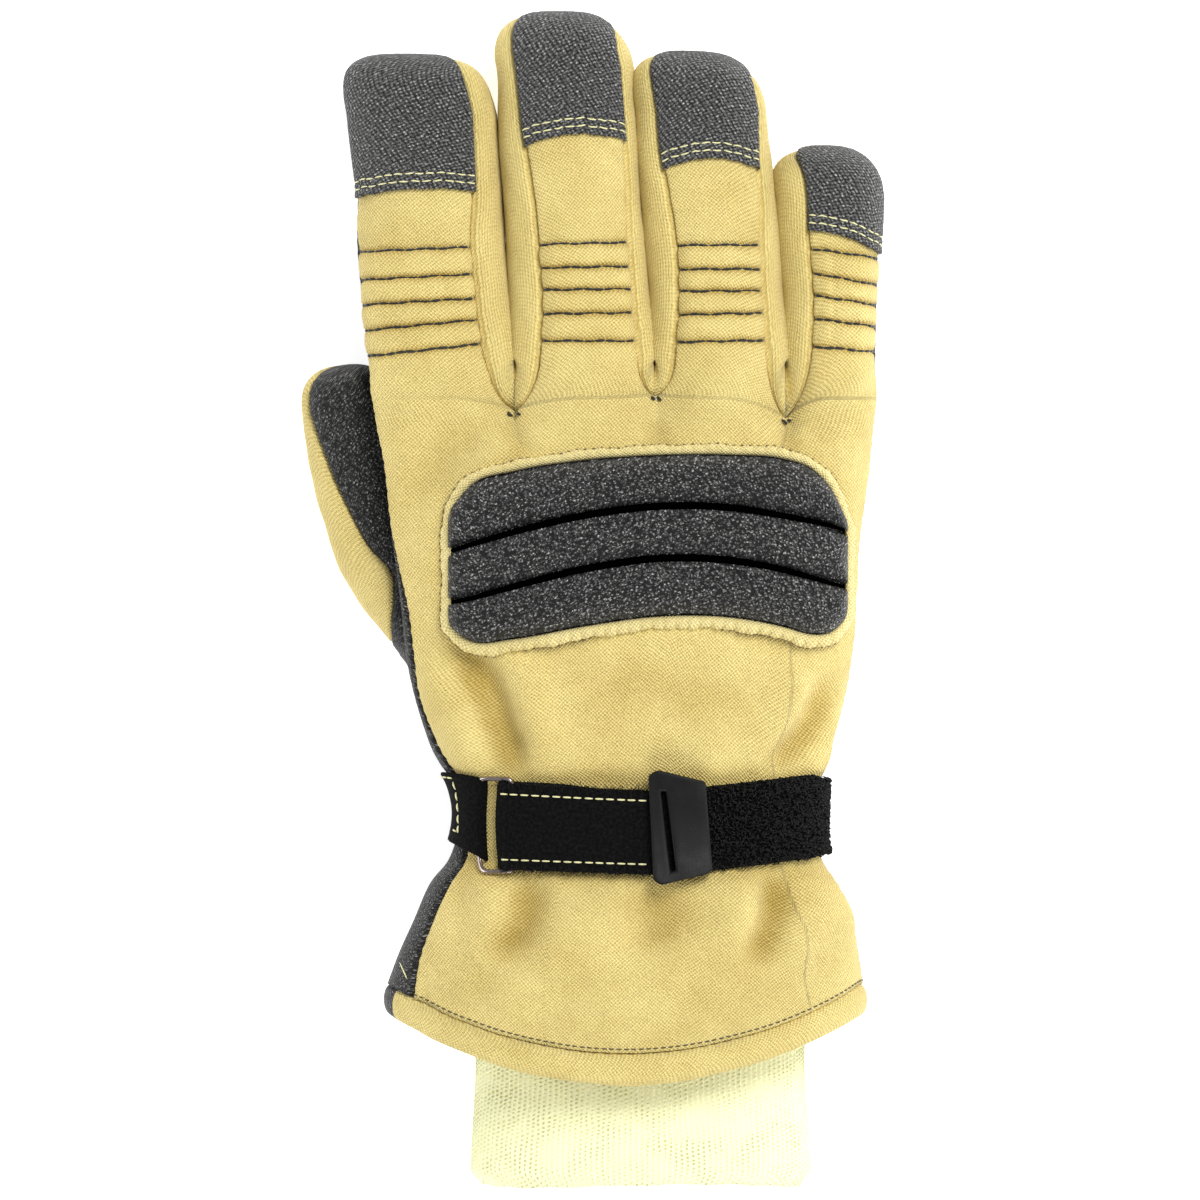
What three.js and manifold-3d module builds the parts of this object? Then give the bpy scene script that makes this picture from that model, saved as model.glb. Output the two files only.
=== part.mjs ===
// Structural firefighting glove for the right hand, lying palm down and filled out as if worn.
// Millimetres. +X points to the little finger, +Y to the fingertips, +Z up from the surface it lies on.
// Inside this file y is 0 at the finger roots and x is 0 midway between the sides of the hand there.
import * as THREE from 'three';
import Module from 'manifold-3d';

// Cloth, and the gaps between sewn pieces
const wall = 3;
const seamGap = 0.3;
const clothGap = 0.85;
const overlayThickness = 1.5;
const slotWidth = 0.6;

// Fingers. Seams are shares of half the finger's width, and ends are shares of the tip's dome.
const fingers = [
  {
    name: 'index', rootWidth: 37.6, tipWidth: 38.4, length: 91.5, tipGap: 1.2, crotchDrop: 3, cap: 35.5,
    leftSeam: 1, rightSeam: 0.62, leftEnd: 1, rightEnd: 0.95,
  },
  {
    name: 'middle', rootWidth: 36.5, tipWidth: 34.9, length: 102.9, tipGap: 1.5, crotchDrop: -1, cap: 34,
    leftSeam: 0.57, rightSeam: 0.83, leftEnd: 0.95, rightEnd: 0.55,
  },
  {
    name: 'ring', rootWidth: 34.3, tipWidth: 34.1, length: 92.3, tipGap: 3.1, crotchDrop: 5, cap: 29.6,
    leftSeam: 0.56, rightSeam: 0.81, leftEnd: 0.95, rightEnd: 0.5,
  },
  {
    name: 'little', rootWidth: 24.2, tipWidth: 29, length: 66.9, tipGap: 0, crotchDrop: 0, cap: 24,
    leftSeam: 0.4, rightSeam: 1, leftEnd: 0.95, rightEnd: 1,
  },
];
const fingerTipHeight = 27;
const fingerLean = 6.1;
const tipSkew = 2;
const palmSeam = 0.68;
const rootRun = 14;
const webReach = 7;
const flattening = 1.5;

// Flex ribs on the finger backs, and the overlays on the tips
const ribCount = 4;
const ribStart = 14.5;
const ribPitch = 6.4;
const ribRise = 1.5;

// Body of the glove, from the finger roots to the hem
const bodyLength = 155.5;
const rootFade = 0.1;
const handHeight = 46;
const hemSag = 17.9;
const hemWidth = 8.5;
const hemThickness = 4.6;
const hemProud = 0.8;

// Thumb
const thumbWidth = 24.6;
const thumbHeight = 24;
const thumbLength = 88;
const thumbLean = THREE.MathUtils.degToRad(7.4);
const thumbCurl = 20;
const thumbLift = 9;
const thumbTipX = -75.5;
const thumbTipY = 9.6;
const thumbSeamTurn = 0.42;
const thumbSeamX = -84.4;
const thumbSeamY = 4.7;

// Knuckle guard and its rolled edge
const guardWidth = 102;
const guardLength = 44;
const guardX = 5;
const guardY = -40.8;
const guardArch = 8;
const guardCorner = 0.24;
const guardRise = 5.5;
const guardRim = 2;
const guardRibs = 3;
const bindingWidth = 4.2;
const bindingHeight = 2.6;

// Wristlet
const wristletWidth = 91;
const wristletHeight = 44;
const wristletLift = 27;
const wristletWall = 2.4;
const wristletReach = 28;
const wristletX = 3.7;

// Strap, ring and pull tab
const strapWidth = 23;
const strapY = -113.5;
const strapSlope = 0.03;
const sideWrap = 0.75;
const loopThickness = 1.6;
const flapThickness = 2.2;
const flapStartX = -32;
const flapEndX = 6.8;
const ringWire = 1.6;
const ringWidth = 7;
const pullWidth = 16;
const pullLength = 28;
const pullThickness = 2.8;
const pullBevel = 0.7;
const pullLift = 1.3;
const slotInset = 5;

// Mesh steps
const columnsPerFinger = 5;
const ringColumns = 36;
const thumbSides = 16;
const mergeWithin = 0.02;

const { lerp, clamp } = THREE.MathUtils;
const FULL_TURN = 2 * Math.PI;
const roundness = 2.4;
const underRoundness = 2;
const crotchDip = 0.3;
const domeShare = 0.87;
const domeSquareness = 0.8;
const middleShare = 0.46;
const curlPower = 2.5;

// Widths along the body as shares of half the knuckle width, heights as shares of the hand's height
const bodyRows = [
  { along: 0, left: -1, right: 1, top: 0.92, leftSeam: 0.66, rightSeam: 0.48, bottom: 0 },
  { along: 0.12, left: -0.956, right: 0.972, top: 0.98, leftSeam: 0.74, rightSeam: 0.48, bottom: 0 },
  { along: 0.23, left: -0.929, right: 0.94, top: 1, leftSeam: 0.74, rightSeam: 0.48, bottom: 0 },
  { along: 0.345, left: -0.9, right: 0.933, top: 1, leftSeam: 0.7, rightSeam: 0.48, bottom: 0 },
  { along: 0.465, left: -0.861, right: 0.9, top: 0.97, leftSeam: 0.64, rightSeam: 0.48, bottom: 0 },
  { along: 0.54, left: -0.81, right: 0.863, top: 0.94, leftSeam: 0.58, rightSeam: 0.48, bottom: 0.02 },
  { along: 0.63, left: -0.742, right: 0.78, top: 0.92, leftSeam: 0.53, rightSeam: 0.49, bottom: 0.06 },
  { along: 0.707, left: -0.66, right: 0.765, top: 0.91, leftSeam: 0.51, rightSeam: 0.5, bottom: 0.09 },
  { along: 0.79, left: -0.738, right: 0.79, top: 0.95, leftSeam: 0.53, rightSeam: 0.51, bottom: 0.07 },
  { along: 0.84, left: -0.798, right: 0.862, top: 1.03, leftSeam: 0.56, rightSeam: 0.54, bottom: 0.05 },
  { along: 0.91, left: -0.857, right: 0.912, top: 1.17, leftSeam: 0.62, rightSeam: 0.6, bottom: 0.03 },
  { along: 1, left: -0.948, right: 0.94, top: 1.32, leftSeam: 0.68, rightSeam: 0.66, bottom: 0.02 },
];

const colours = {
  gold: { color: 0xdcc373, roughness: 0.95, metalness: 0 },
  charcoal: { color: 0x3e3e40, roughness: 0.85, metalness: 0 },
  suede: { color: 0x161616, roughness: 0.95, metalness: 0 },
  wristlet: { color: 0xeef0be, roughness: 0.95, metalness: 0 },
  plastic: { color: 0x303032, roughness: 0.45, metalness: 0 },
  wire: { color: 0x968787, roughness: 0.3, metalness: 1 },
};

const wasm = await Module();
wasm.setup();
const group = new THREE.Group();

function ease(share) {
  const t = clamp(share, 0, 1);
  return t * t * (3 - 2 * t);
}

function round(share, power) {
  return (1 - Math.min(Math.abs(share), 1) ** power) ** (1 / power);
}

// Collects triangles on shared corners, which are merged where they meet
class Skin {
  constructor() {
    this.points = [];
    this.faces = [];
    this.keys = new Map();
  }

  corner(point) {
    const key = point.map((value) => Math.round(value * 500)).join(',');
    if (!this.keys.has(key)) {
      this.keys.set(key, this.points.length);
      this.points.push(point);
    }
    return this.keys.get(key);
  }

  triangle(a, b, c) {
    if (a !== b && b !== c && c !== a) this.faces.push([a, b, c]);
  }

  quad(a, b, c, d) {
    this.triangle(a, b, c);
    this.triangle(a, c, d);
  }
}

// A closed surface from grids of points, rows by columns
function closedSkin(...grids) {
  const skin = new Skin();
  for (const grid of grids) {
    const ids = grid.map((row) => row.map((point) => skin.corner(point)));
    for (let i = 0; i + 1 < ids.length; i++) {
      for (let j = 0; j + 1 < ids[i].length; j++) {
        skin.quad(ids[i][j], ids[i][j + 1], ids[i + 1][j + 1], ids[i + 1][j]);
      }
    }
  }
  return skin;
}

// A sheet with thickness. Each grid point has an outer and an inner place, and open edges get a rim.
function sheet(...grids) {
  const skin = new Skin();
  const inner = [];
  const front = [];
  for (const { rows, flip } of grids) {
    const ids = rows.map((row) => row.map((point) => {
      const id = skin.corner(point.outer);
      inner[id] ??= point.inner;
      return id;
    }));
    for (let i = 0; i + 1 < ids.length; i++) {
      for (let j = 0; j + 1 < ids[i].length; j++) {
        const ring = [ids[i][j], ids[i][j + 1], ids[i + 1][j + 1], ids[i + 1][j]];
        front.push(flip ? ring.reverse() : ring);
      }
    }
  }
  for (const ring of front) skin.quad(...ring);
  const outerFaces = [...skin.faces];
  const outerCount = skin.points.length;
  const open = new Map();
  for (const face of outerFaces) {
    face.forEach((from, k) => {
      const to = face[(k + 1) % 3];
      if (!open.delete(`${to},${from}`)) open.set(`${from},${to}`, [from, to]);
    });
  }
  skin.points.push(...inner);
  for (const [a, b, c] of outerFaces) skin.triangle(a + outerCount, c + outerCount, b + outerCount);
  for (const [from, to] of open.values()) {
    skin.quad(to, from, from + outerCount, to + outerCount);
  }
  return skin;
}

function solidOf(skin) {
  const vertProperties = new Float32Array(skin.points.flat());
  const triVerts = new Uint32Array(skin.faces.flat());
  return new wasm.Manifold(new wasm.Mesh({ numProp: 3, vertProperties, triVerts }));
}

function skinOf(solid) {
  const pieces = solid.decompose().sort((a, b) => b.volume() - a.volume());
  const mesh = pieces[0].simplify(mergeWithin).getMesh();
  const skin = new Skin();
  for (let i = 0; i < mesh.vertProperties.length; i += mesh.numProp) {
    skin.points.push([...mesh.vertProperties.slice(i, i + 3)]);
  }
  for (let i = 0; i < mesh.triVerts.length; i += 3) skin.triangle(...mesh.triVerts.slice(i, i + 3));
  return skin;
}

function add(name, skin, colour) {
  const geometry = new THREE.BufferGeometry();
  geometry.setAttribute('position', new THREE.Float32BufferAttribute(skin.points.flat(), 3));
  geometry.setIndex(skin.faces.flat());
  geometry.computeVertexNormals();
  const mesh = new THREE.Mesh(geometry, new THREE.MeshStandardMaterial(colours[colour]));
  mesh.name = name;
  group.add(mesh);
}

// Places of the fingers: side by side at the roots and again at the tips, then leaning to the thumb
const slots = (fingers.length - 1) * slotWidth;
const knuckleWidth = fingers.reduce((sum, finger) => sum + finger.rootWidth, slots);
const halfKnuckle = knuckleWidth / 2;
let rootLeft = -halfKnuckle;
let tipLeft = -halfKnuckle - fingerLean;
for (const finger of fingers) {
  finger.rootX = rootLeft + finger.rootWidth / 2;
  finger.tipX = tipLeft + finger.tipWidth / 2;
  rootLeft += finger.rootWidth + slotWidth;
  tipLeft += finger.tipWidth + finger.tipGap;
}

// The body's row at a share of its length, smooth between the rows of the table
function bodyRow(along) {
  const last = bodyRows.length - 1;
  const next = clamp(bodyRows.findIndex((row) => row.along >= along), 1, last);
  const span = bodyRows[next].along - bodyRows[next - 1].along;
  const t = clamp((along - bodyRows[next - 1].along) / span, 0, 1);
  const row = {};
  for (const column of ['left', 'right', 'top', 'leftSeam', 'rightSeam', 'bottom']) {
    const [before, from, to, after] = [-2, -1, 0, 1].map(
      (step) => bodyRows[clamp(next + step, 0, last)][column],
    );
    const bend = 2 * before - 5 * from + 4 * to - after;
    row[column] = from + 0.5 * t * (to - before + t * (bend + t * (3 * (from - to) + after - before)));
  }
  return row;
}

// A point on the plain body: across runs from -1 to 1, side is 1 on the back and -1 on the palm
function plainBody(along, across, side, inset) {
  const row = bodyRow(along);
  const left = row.left * halfKnuckle + inset;
  const right = row.right * halfKnuckle - inset;
  const seam = handHeight * lerp(row.leftSeam, row.rightSeam, (across + 1) / 2);
  const sag = hemSag * (1 - across * across) * ease((along - 0.8) / 0.2);
  const x = lerp(left, right, (across + 1) / 2);
  const y = -along * bodyLength - sag;
  if (side > 0) return [x, y, seam + round(across, roundness) * (handHeight * row.top - inset - seam)];
  const floor = handHeight * row.bottom + inset;
  const sunk = seam - round(across, underRoundness) * (seam - floor + flattening);
  return [x, y, Math.max(sunk, floor)];
}

for (const finger of fingers) {
  const across = finger.rootX / halfKnuckle;
  finger.rootTop = plainBody(0, across, 1, 0)[2];
  finger.rootMiddle = handHeight * lerp(bodyRows[0].leftSeam, bodyRows[0].rightSeam, (across + 1) / 2);
  finger.dome = domeShare * finger.tipWidth / 2;
  finger.straight = finger.length - finger.dome;
}

// A finger's section. Station is 0 at the root, 1 where the tip's dome starts and 2 at the tip.
function fingerSection(finger, station, inset) {
  const straight = Math.min(station, 1);
  const turn = Math.max(station - 1, 0) * Math.PI / 2;
  const shrink = Math.max(Math.cos(turn), 0) ** domeSquareness;
  const reach = Math.sin(turn) ** domeSquareness;
  const grown = ease(straight * finger.straight / rootRun);
  const half = lerp(finger.rootWidth, finger.tipWidth, straight) / 2;
  const middle = lerp(finger.rootMiddle, fingerTipHeight * middleShare, straight);
  const top = lerp(finger.rootTop, fingerTipHeight, straight);
  return {
    grown,
    centre: lerp(finger.rootX, finger.tipX, straight) - tipSkew * reach,
    left: (half - inset * (finger.leftSeam < 1 ? grown : 1)) * shrink,
    right: (half - inset * (finger.rightSeam < 1 ? grown : 1)) * shrink,
    y: straight * finger.straight + (finger.dome - inset) * reach,
    middle,
    rise: (top - middle - inset) * shrink,
    fall: (middle - inset) * shrink,
  };
}

// How far out a seam runs: to the crotch at the root, and to the side on the dome
function seamShare(finger, station, direction, onPalm) {
  const inner = direction < 0 ? finger.leftSeam : finger.rightSeam;
  if (inner === 1) return 1;
  const end = direction < 0 ? finger.leftEnd : finger.rightEnd;
  const plain = onPalm ? Math.max(palmSeam, inner) : inner;
  const half = lerp(finger.rootWidth, finger.tipWidth, Math.min(station, 1)) / 2;
  const grown = ease(Math.min(station, 1) * finger.straight / rootRun);
  const atRoot = (half + slotWidth / 2) / half;
  return lerp(lerp(atRoot, plain, grown), 1, ease((station - 1) / end));
}

// A point on a finger's back or palm strip, at a share of its half width
function fingerPoint(finger, station, share, side, inset) {
  const section = fingerSection(finger, station, inset);
  const half = share < 0 ? section.left : section.right;
  const outer = (share < 0 ? finger.leftSeam : finger.rightSeam) === 1;
  const full = round(share, side > 0 ? roundness : underRoundness + (outer ? 0 : 1));
  const shape = outer ? full : lerp(1 - crotchDip * Math.abs(share) ** roundness, full, section.grown);
  const nextDrop = finger.crotchDrop;
  const lastDrop = fingers[Math.max(fingers.indexOf(finger) - 1, 0)].crotchDrop;
  const drop = share < 0
    ? (finger.leftSeam < 1 ? lastDrop * share * share : 0)
    : (finger.rightSeam < 1 ? nextDrop * share * share : 0);
  const x = section.centre + share * half;
  const y = section.y - drop * (1 - section.grown);
  if (side > 0) return [x, y, section.middle + seamGap / 2 + shape * Math.max(section.rise - seamGap / 2, 0)];
  const sink = flattening * (1 - ease(2 * (station - 1)));
  const sunk = section.middle - seamGap / 2 - shape * Math.max(section.fall - seamGap / 2 + sink, 0);
  return [x, y, Math.max(sunk, inset)];
}

// Shares across a strip: crowded towards an open side of the hand, even elsewhere
function stripSteps(finger, count) {
  return Array.from({ length: count + 1 }, (_, k) => {
    const t = k / count;
    if (finger.leftSeam === 1) return 1 - Math.cos(t * Math.PI / 2);
    if (finger.rightSeam === 1) return Math.sin(t * Math.PI / 2);
    return t;
  });
}

function ribRelief(y) {
  const place = (y - ribStart) / ribPitch;
  if (place <= 0 || place >= ribCount) return 0;
  return ribRise * Math.abs(Math.sin(place * Math.PI));
}

// One strip of a finger as a grid, from station to station. Rims stand half a seam gap back.
function fingerStrip(finger, stations, side, outerInset, innerInset, relief = () => 0) {
  const rows = stations.map((station) => {
    const half = Math.max(fingerSection(finger, station, 0).right, 1);
    const back = station > 0 ? seamGap / 2 / half : 0;
    const ends = [-1, 1].map((direction) => {
      const share = seamShare(finger, station, direction, side < 0);
      return direction * (share < 1 ? share - back : share);
    });
    return stripSteps(finger, columnsPerFinger).map((t) => {
      const share = lerp(ends[0], ends[1], t);
      const raised = relief(station * finger.straight) * (1 - t ** 8) * (1 - (1 - t) ** 8);
      return {
        outer: fingerPoint(finger, station, share, side, outerInset - raised),
        inner: fingerPoint(finger, station, share, side, innerInset),
      };
    });
  });
  return { rows, flip: side < 0 };
}

function domeStations(count) {
  return Array.from({ length: count }, (_, k) => 1 + (k + 1) / count);
}

// Stations in the bend at a finger's root, which every piece that meets there shares
function rootStations(finger) {
  return [0, 0.3, 0.55, 0.78, 1].map((share) => share * rootRun / finger.straight);
}

function backStations(finger) {
  const ribs = Array.from({ length: 2 * ribCount + 1 }, (_, k) => ribStart + k * ribPitch / 2);
  const above = ribs.map((y) => y / finger.straight).filter((station) => station < 1);
  return [...rootStations(finger), ...above, 1, ...domeStations(4)];
}

function palmStations(finger) {
  return [...rootStations(finger), 0.4, 0.7, 1, ...domeStations(4)];
}

// Where the body's top row meets the fingers, for the back and for the palm
function rootRow(side) {
  const points = [];
  for (const finger of fingers) {
    const strip = fingerStrip(finger, [0], side, 0, wall).rows[0];
    points.push(...(points.length ? strip.slice(1) : strip));
  }
  return points.map((point) => {
    const across = clamp(point.outer[0] / halfKnuckle, -1, 1);
    const plain = plainBody(0, across, side, 0);
    return { point, across, lift: point.outer[2] - plain[2], shift: point.outer[1] - plain[1] };
  });
}
const rootRows = { 1: rootRow(1), [-1]: rootRow(-1) };

// The finished body: near the finger roots it follows the fingers' own curves
function bodyPoint(along, across, side, inset) {
  const [x, y, z] = plainBody(along, across, side, inset);
  const roots = rootRows[side];
  const next = clamp(roots.findIndex((root) => root.across >= across), 1, roots.length - 1);
  const [a, b] = [roots[next - 1], roots[next]];
  const t = clamp((across - a.across) / (b.across - a.across), 0, 1);
  const near = 1 - ease(along / rootFade);
  const lift = lerp(a.lift, b.lift, t) * near;
  const gap = side * seamGap / 2 * (1 - near);
  const level = z + lift + gap * (1 - round(across, roundness));
  return [x, y + lerp(a.shift, b.shift, t) * near, side > 0 ? level : Math.max(level, inset)];
}

const bodyAlongs = [0, rootFade / 2, rootFade, ...bodyRows.slice(2).map((row) => row.along)];

// The body's back or palm as a grid that starts on the row shared with the fingers
function bodyGrid(side) {
  const roots = rootRows[side];
  const rows = bodyAlongs.map((along) => roots.map((root, j) => {
    if (along === 0) return root.point;
    const even = -Math.cos(j / (roots.length - 1) * Math.PI);
    const across = lerp(root.across, even, 0.7 * ease(along / 0.6));
    return { outer: bodyPoint(along, across, side, 0), inner: bodyPoint(along, across, side, wall) };
  }));
  return { rows, flip: side > 0 };
}

// A ring of points round the body, from the little-finger side over the back
function bodyRing(along, inset, count = ringColumns) {
  return Array.from({ length: count + 1 }, (_, k) => {
    const turn = (k % count) / count * FULL_TURN;
    return bodyPoint(along, Math.cos(turn), Math.sin(turn) >= 0 ? 1 : -1, inset);
  });
}

// Thumb: a tube that leans out from under the edge of the hand
function thumbRings(inset, toBase) {
  const dome = domeShare * thumbWidth / 2;
  const stations = [0, 0.15, 0.3, 0.5, 0.75, 1, 1.25, 1.5, 1.75, 2];
  return stations.map((station) => {
    const turn = Math.max(station - 1, 0) * Math.PI / 2;
    const shrink = Math.max(Math.cos(turn), 0) ** domeSquareness;
    const reach = (dome - inset) * Math.sin(turn) ** domeSquareness;
    const further = station === 0 ? toBase : 0;
    const fromTip = dome + (1 - Math.min(station, 1)) * (thumbLength - dome) - reach + further;
    const down = Math.max(fromTip, 0) / thumbLength;
    const curl = down ** curlPower;
    const lean = thumbLean + Math.atan(curlPower * down ** (curlPower - 1) * thumbCurl / thumbLength);
    const x = thumbTipX + fromTip * Math.sin(thumbLean) + thumbCurl * curl;
    const y = thumbTipY - fromTip * Math.cos(thumbLean);
    const half = thumbHeight / 2;
    const level = half + thumbLift * curl;
    return Array.from({ length: thumbSides + 1 }, (_, k) => {
      const angle = (k % thumbSides) / thumbSides * FULL_TURN;
      const [c, s] = [Math.cos(angle), Math.sin(angle)];
      const out = Math.sign(c) * Math.abs(c) ** (2 / roundness) * (thumbWidth / 2 - inset) * shrink;
      const up = Math.sign(s) * Math.abs(s) ** (2 / roundness) * (half - inset) * shrink;
      return [x + out * Math.cos(lean), y + out * Math.sin(lean), level + up];
    });
  });
}

// A closed solid through rings, with flat ends
function ringSolid(rings) {
  const middle = (ring) => {
    const sum = ring.slice(1).reduce((total, point) => total.map((value, k) => value + point[k]), [0, 0, 0]);
    const centre = sum.map((value) => value / (ring.length - 1));
    return ring.map(() => centre);
  };
  return solidOf(closedSkin([middle(rings[0]), ...rings, middle(rings[rings.length - 1])]));
}

const bodyVolume = ringSolid(bodyAlongs.map((along) => bodyRing(along, -clothGap)));
const fingerVolume = ringSolid([...rootStations(fingers[0]), 0.4, 0.7, 1].map((station) => {
  const turns = Array.from({ length: ringColumns + 1 }, (_, k) => (k % ringColumns) / ringColumns * FULL_TURN);
  return turns.map((turn) => {
    const side = Math.sin(turn) >= 0 ? 1 : -1;
    return fingerPoint(fingers[0], station, Math.cos(turn), side, -clothGap);
  });
}).reverse());
const thumbOuter = ringSolid(thumbRings(0, 0).reverse());
const thumbInner = ringSolid(thumbRings(wall, 1).reverse());
const thumbWall = thumbOuter.subtract(thumbInner).subtract(bodyVolume).subtract(fingerVolume);
const thumbCut = [Math.cos(thumbSeamTurn), Math.sin(thumbSeamTurn), 0];
const thumbCutAt = thumbCut[0] * thumbSeamX + thumbCut[1] * thumbSeamY;

// Back of the hand with the four finger backs
const backStrips = fingers.map((finger) => fingerStrip(finger, backStations(finger), 1, 0, wall, ribRelief));
add('back_panel', sheet(bodyGrid(1), ...backStrips), 'gold');

// Palm with the four finger fronts, open where the thumb is sewn in
const palmStrips = fingers.map((finger) => fingerStrip(finger, palmStations(finger), -1, 0, wall));
const palm = solidOf(sheet(bodyGrid(-1), ...palmStrips));
add('palm_panel', skinOf(palm.subtract(thumbInner)), 'charcoal');

add('thumb_back', skinOf(thumbWall.trimByPlane(thumbCut.map((v) => -v), -thumbCutAt + seamGap / 2)), 'gold');
add('thumb_palm', skinOf(thumbWall.trimByPlane(thumbCut, thumbCutAt + seamGap / 2)), 'charcoal');

// Side strips that join one finger to the next through the crotch
function sidePoint(finger, station, direction, fall, inset) {
  const section = fingerSection(finger, station, inset);
  const half = direction < 0 ? section.left : section.right;
  const back = seamGap / 2 / Math.max(half, 1);
  const shares = [1, -1].map((side) => {
    const share = seamShare(finger, station, direction, side < 0);
    return direction * (station > 0 ? Math.min(share + back, 1) : share);
  });
  const forward = 3 * seamGap * (1 - section.grown);
  const bend = 1 - section.grown;
  const side = [section.centre + direction * half, section.y + (webReach - inset) * bend, section.middle];
  const upper = fall <= 0.5;
  const seam = fingerPoint(finger, station, shares[upper ? 0 : 1], upper ? 1 : -1, inset);
  seam[1] += forward;
  const shoulder = [side[0], side[1], lerp(seam[2], side[2], 0.15)];
  const t = Math.abs(1 - 2 * fall);
  const weights = [t * t, 2 * t * (1 - t), (1 - t) * (1 - t)];
  return side.map((value, k) => weights[0] * seam[k] + weights[1] * shoulder[k] + weights[2] * value);
}

function fourchette(left, right) {
  const falls = [0, 1 / 6, 1 / 3, 1 / 2, 2 / 3, 5 / 6, 1];
  const path = (finger, direction) => {
    const end = direction < 0 ? finger.leftEnd : finger.rightEnd;
    const stations = [...rootStations(finger), 0.4, 0.7, 1, 1 + end / 2, 1 + 0.8 * end];
    return stations.map((station) => falls.map((fall) => ({
      outer: sidePoint(finger, station, direction, fall, 0),
      inner: sidePoint(finger, station, direction, fall, wall),
    })));
  };
  return sheet({ rows: [...path(left, 1).reverse(), ...path(right, -1)], flip: true });
}
for (let k = 0; k + 1 < fingers.length; k++) {
  const [left, right] = [fingers[k], fingers[k + 1]];
  add(`fourchette_${left.name}_${right.name}`, fourchette(left, right), 'gold');
}

// Overlays on the fingertips
for (const finger of fingers) {
  const foot = (finger.length - finger.cap) / finger.straight;
  const stations = [foot, lerp(foot, 1, 0.5), 1, ...domeStations(4)];
  const strip = fingerStrip(finger, stations, 1, -seamGap - overlayThickness, -seamGap);
  add(`fingertip_cap_${finger.name}`, sheet(strip), 'charcoal');
}

// A place raised off the body's back, found from where it is seen from above
function backAt(x, y, raise) {
  let along = -y / bodyLength;
  let across = 0;
  for (let pass = 0; pass < 12; pass++) {
    const row = bodyRow(along);
    const middle = (row.left + row.right) / 2;
    across = clamp((x / halfKnuckle - middle) / ((row.right - row.left) / 2), -1, 1);
    along += (bodyPoint(along, across, 1, 0)[1] - y) / bodyLength;
  }
  return bodyPoint(along, across, 1, -raise);
}

// Knuckle guard: a padded panel with rounded corners, arched towards the fingers, in three ribs
function guardPlace(u, w, grow) {
  const x = u * Math.sqrt(1 - guardCorner * w ** 6) * (guardWidth / 2 + grow);
  const y = w * Math.sqrt(1 - guardCorner * u ** 6) * (guardLength / 2 + grow) + guardArch * (0.6 - u * u);
  return [guardX + x, guardY + y];
}

function guardHeight(u, w) {
  const rib = Math.abs(Math.sin((w + 1) / 2 * guardRibs * Math.PI));
  const edge = Math.min(1, 4 * (1 - u * u));
  return guardRim + (guardRise - guardRim) * rib * edge;
}

const guardColumns = 12;
const guardRows = [];
for (let i = 0; i <= 4 * guardRibs; i++) {
  const w = -1 + i / (2 * guardRibs);
  guardRows.push(Array.from({ length: guardColumns + 1 }, (_, j) => {
    const u = Math.sin((j / guardColumns - 0.5) * Math.PI);
    const place = guardPlace(u, w, 0);
    return {
      outer: backAt(...place, clothGap + guardHeight(u, w)),
      inner: backAt(...place, clothGap),
    };
  }));
}
add('knuckle_guard', sheet({ rows: guardRows, flip: false }), 'charcoal');

// Rolled edge round the guard
function guardOutline(turn, grow) {
  const [c, s] = [Math.cos(turn), Math.sin(turn)];
  const reach = Math.max(Math.abs(c), Math.abs(s));
  return guardPlace(c / reach, s / reach, grow);
}

const bindingSection = [
  { out: 0, up: 0 }, { out: 0, up: 0.6 }, { out: 0.25, up: 1 }, { out: 0.75, up: 1 },
  { out: 1, up: 0.6 }, { out: 1, up: 0 }, { out: 0, up: 0 },
];
const bindingSteps = 48;
const bindingRows = Array.from({ length: bindingSteps + 1 }, (_, k) => {
  const turn = (k % bindingSteps) / bindingSteps * FULL_TURN;
  return bindingSection.map(({ out, up }) => {
    const place = guardOutline(turn, 2 * seamGap + out * bindingWidth);
    return backAt(...place, clothGap + seamGap + up * bindingHeight);
  });
});
add('knuckle_binding', closedSkin(bindingRows), 'gold');

// Rolled hem of the cuff
const hemSection = [
  { down: 0, deep: 0 }, { down: 0.45, deep: -0.1 }, { down: 0.85, deep: 0.1 }, { down: 1, deep: 0.5 },
  { down: 0.85, deep: 0.9 }, { down: 0, deep: 1 }, { down: 0, deep: 0 },
];
const hemRings = hemSection.map(({ down, deep }) => {
  const ring = bodyRing(1, deep * hemThickness - hemProud);
  return ring.map(([x, y, z]) => [x, y - seamGap - down * hemWidth, Math.max(z, 0)]);
});
add('cuff_hem', closedSkin(hemRings), 'gold');

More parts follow.
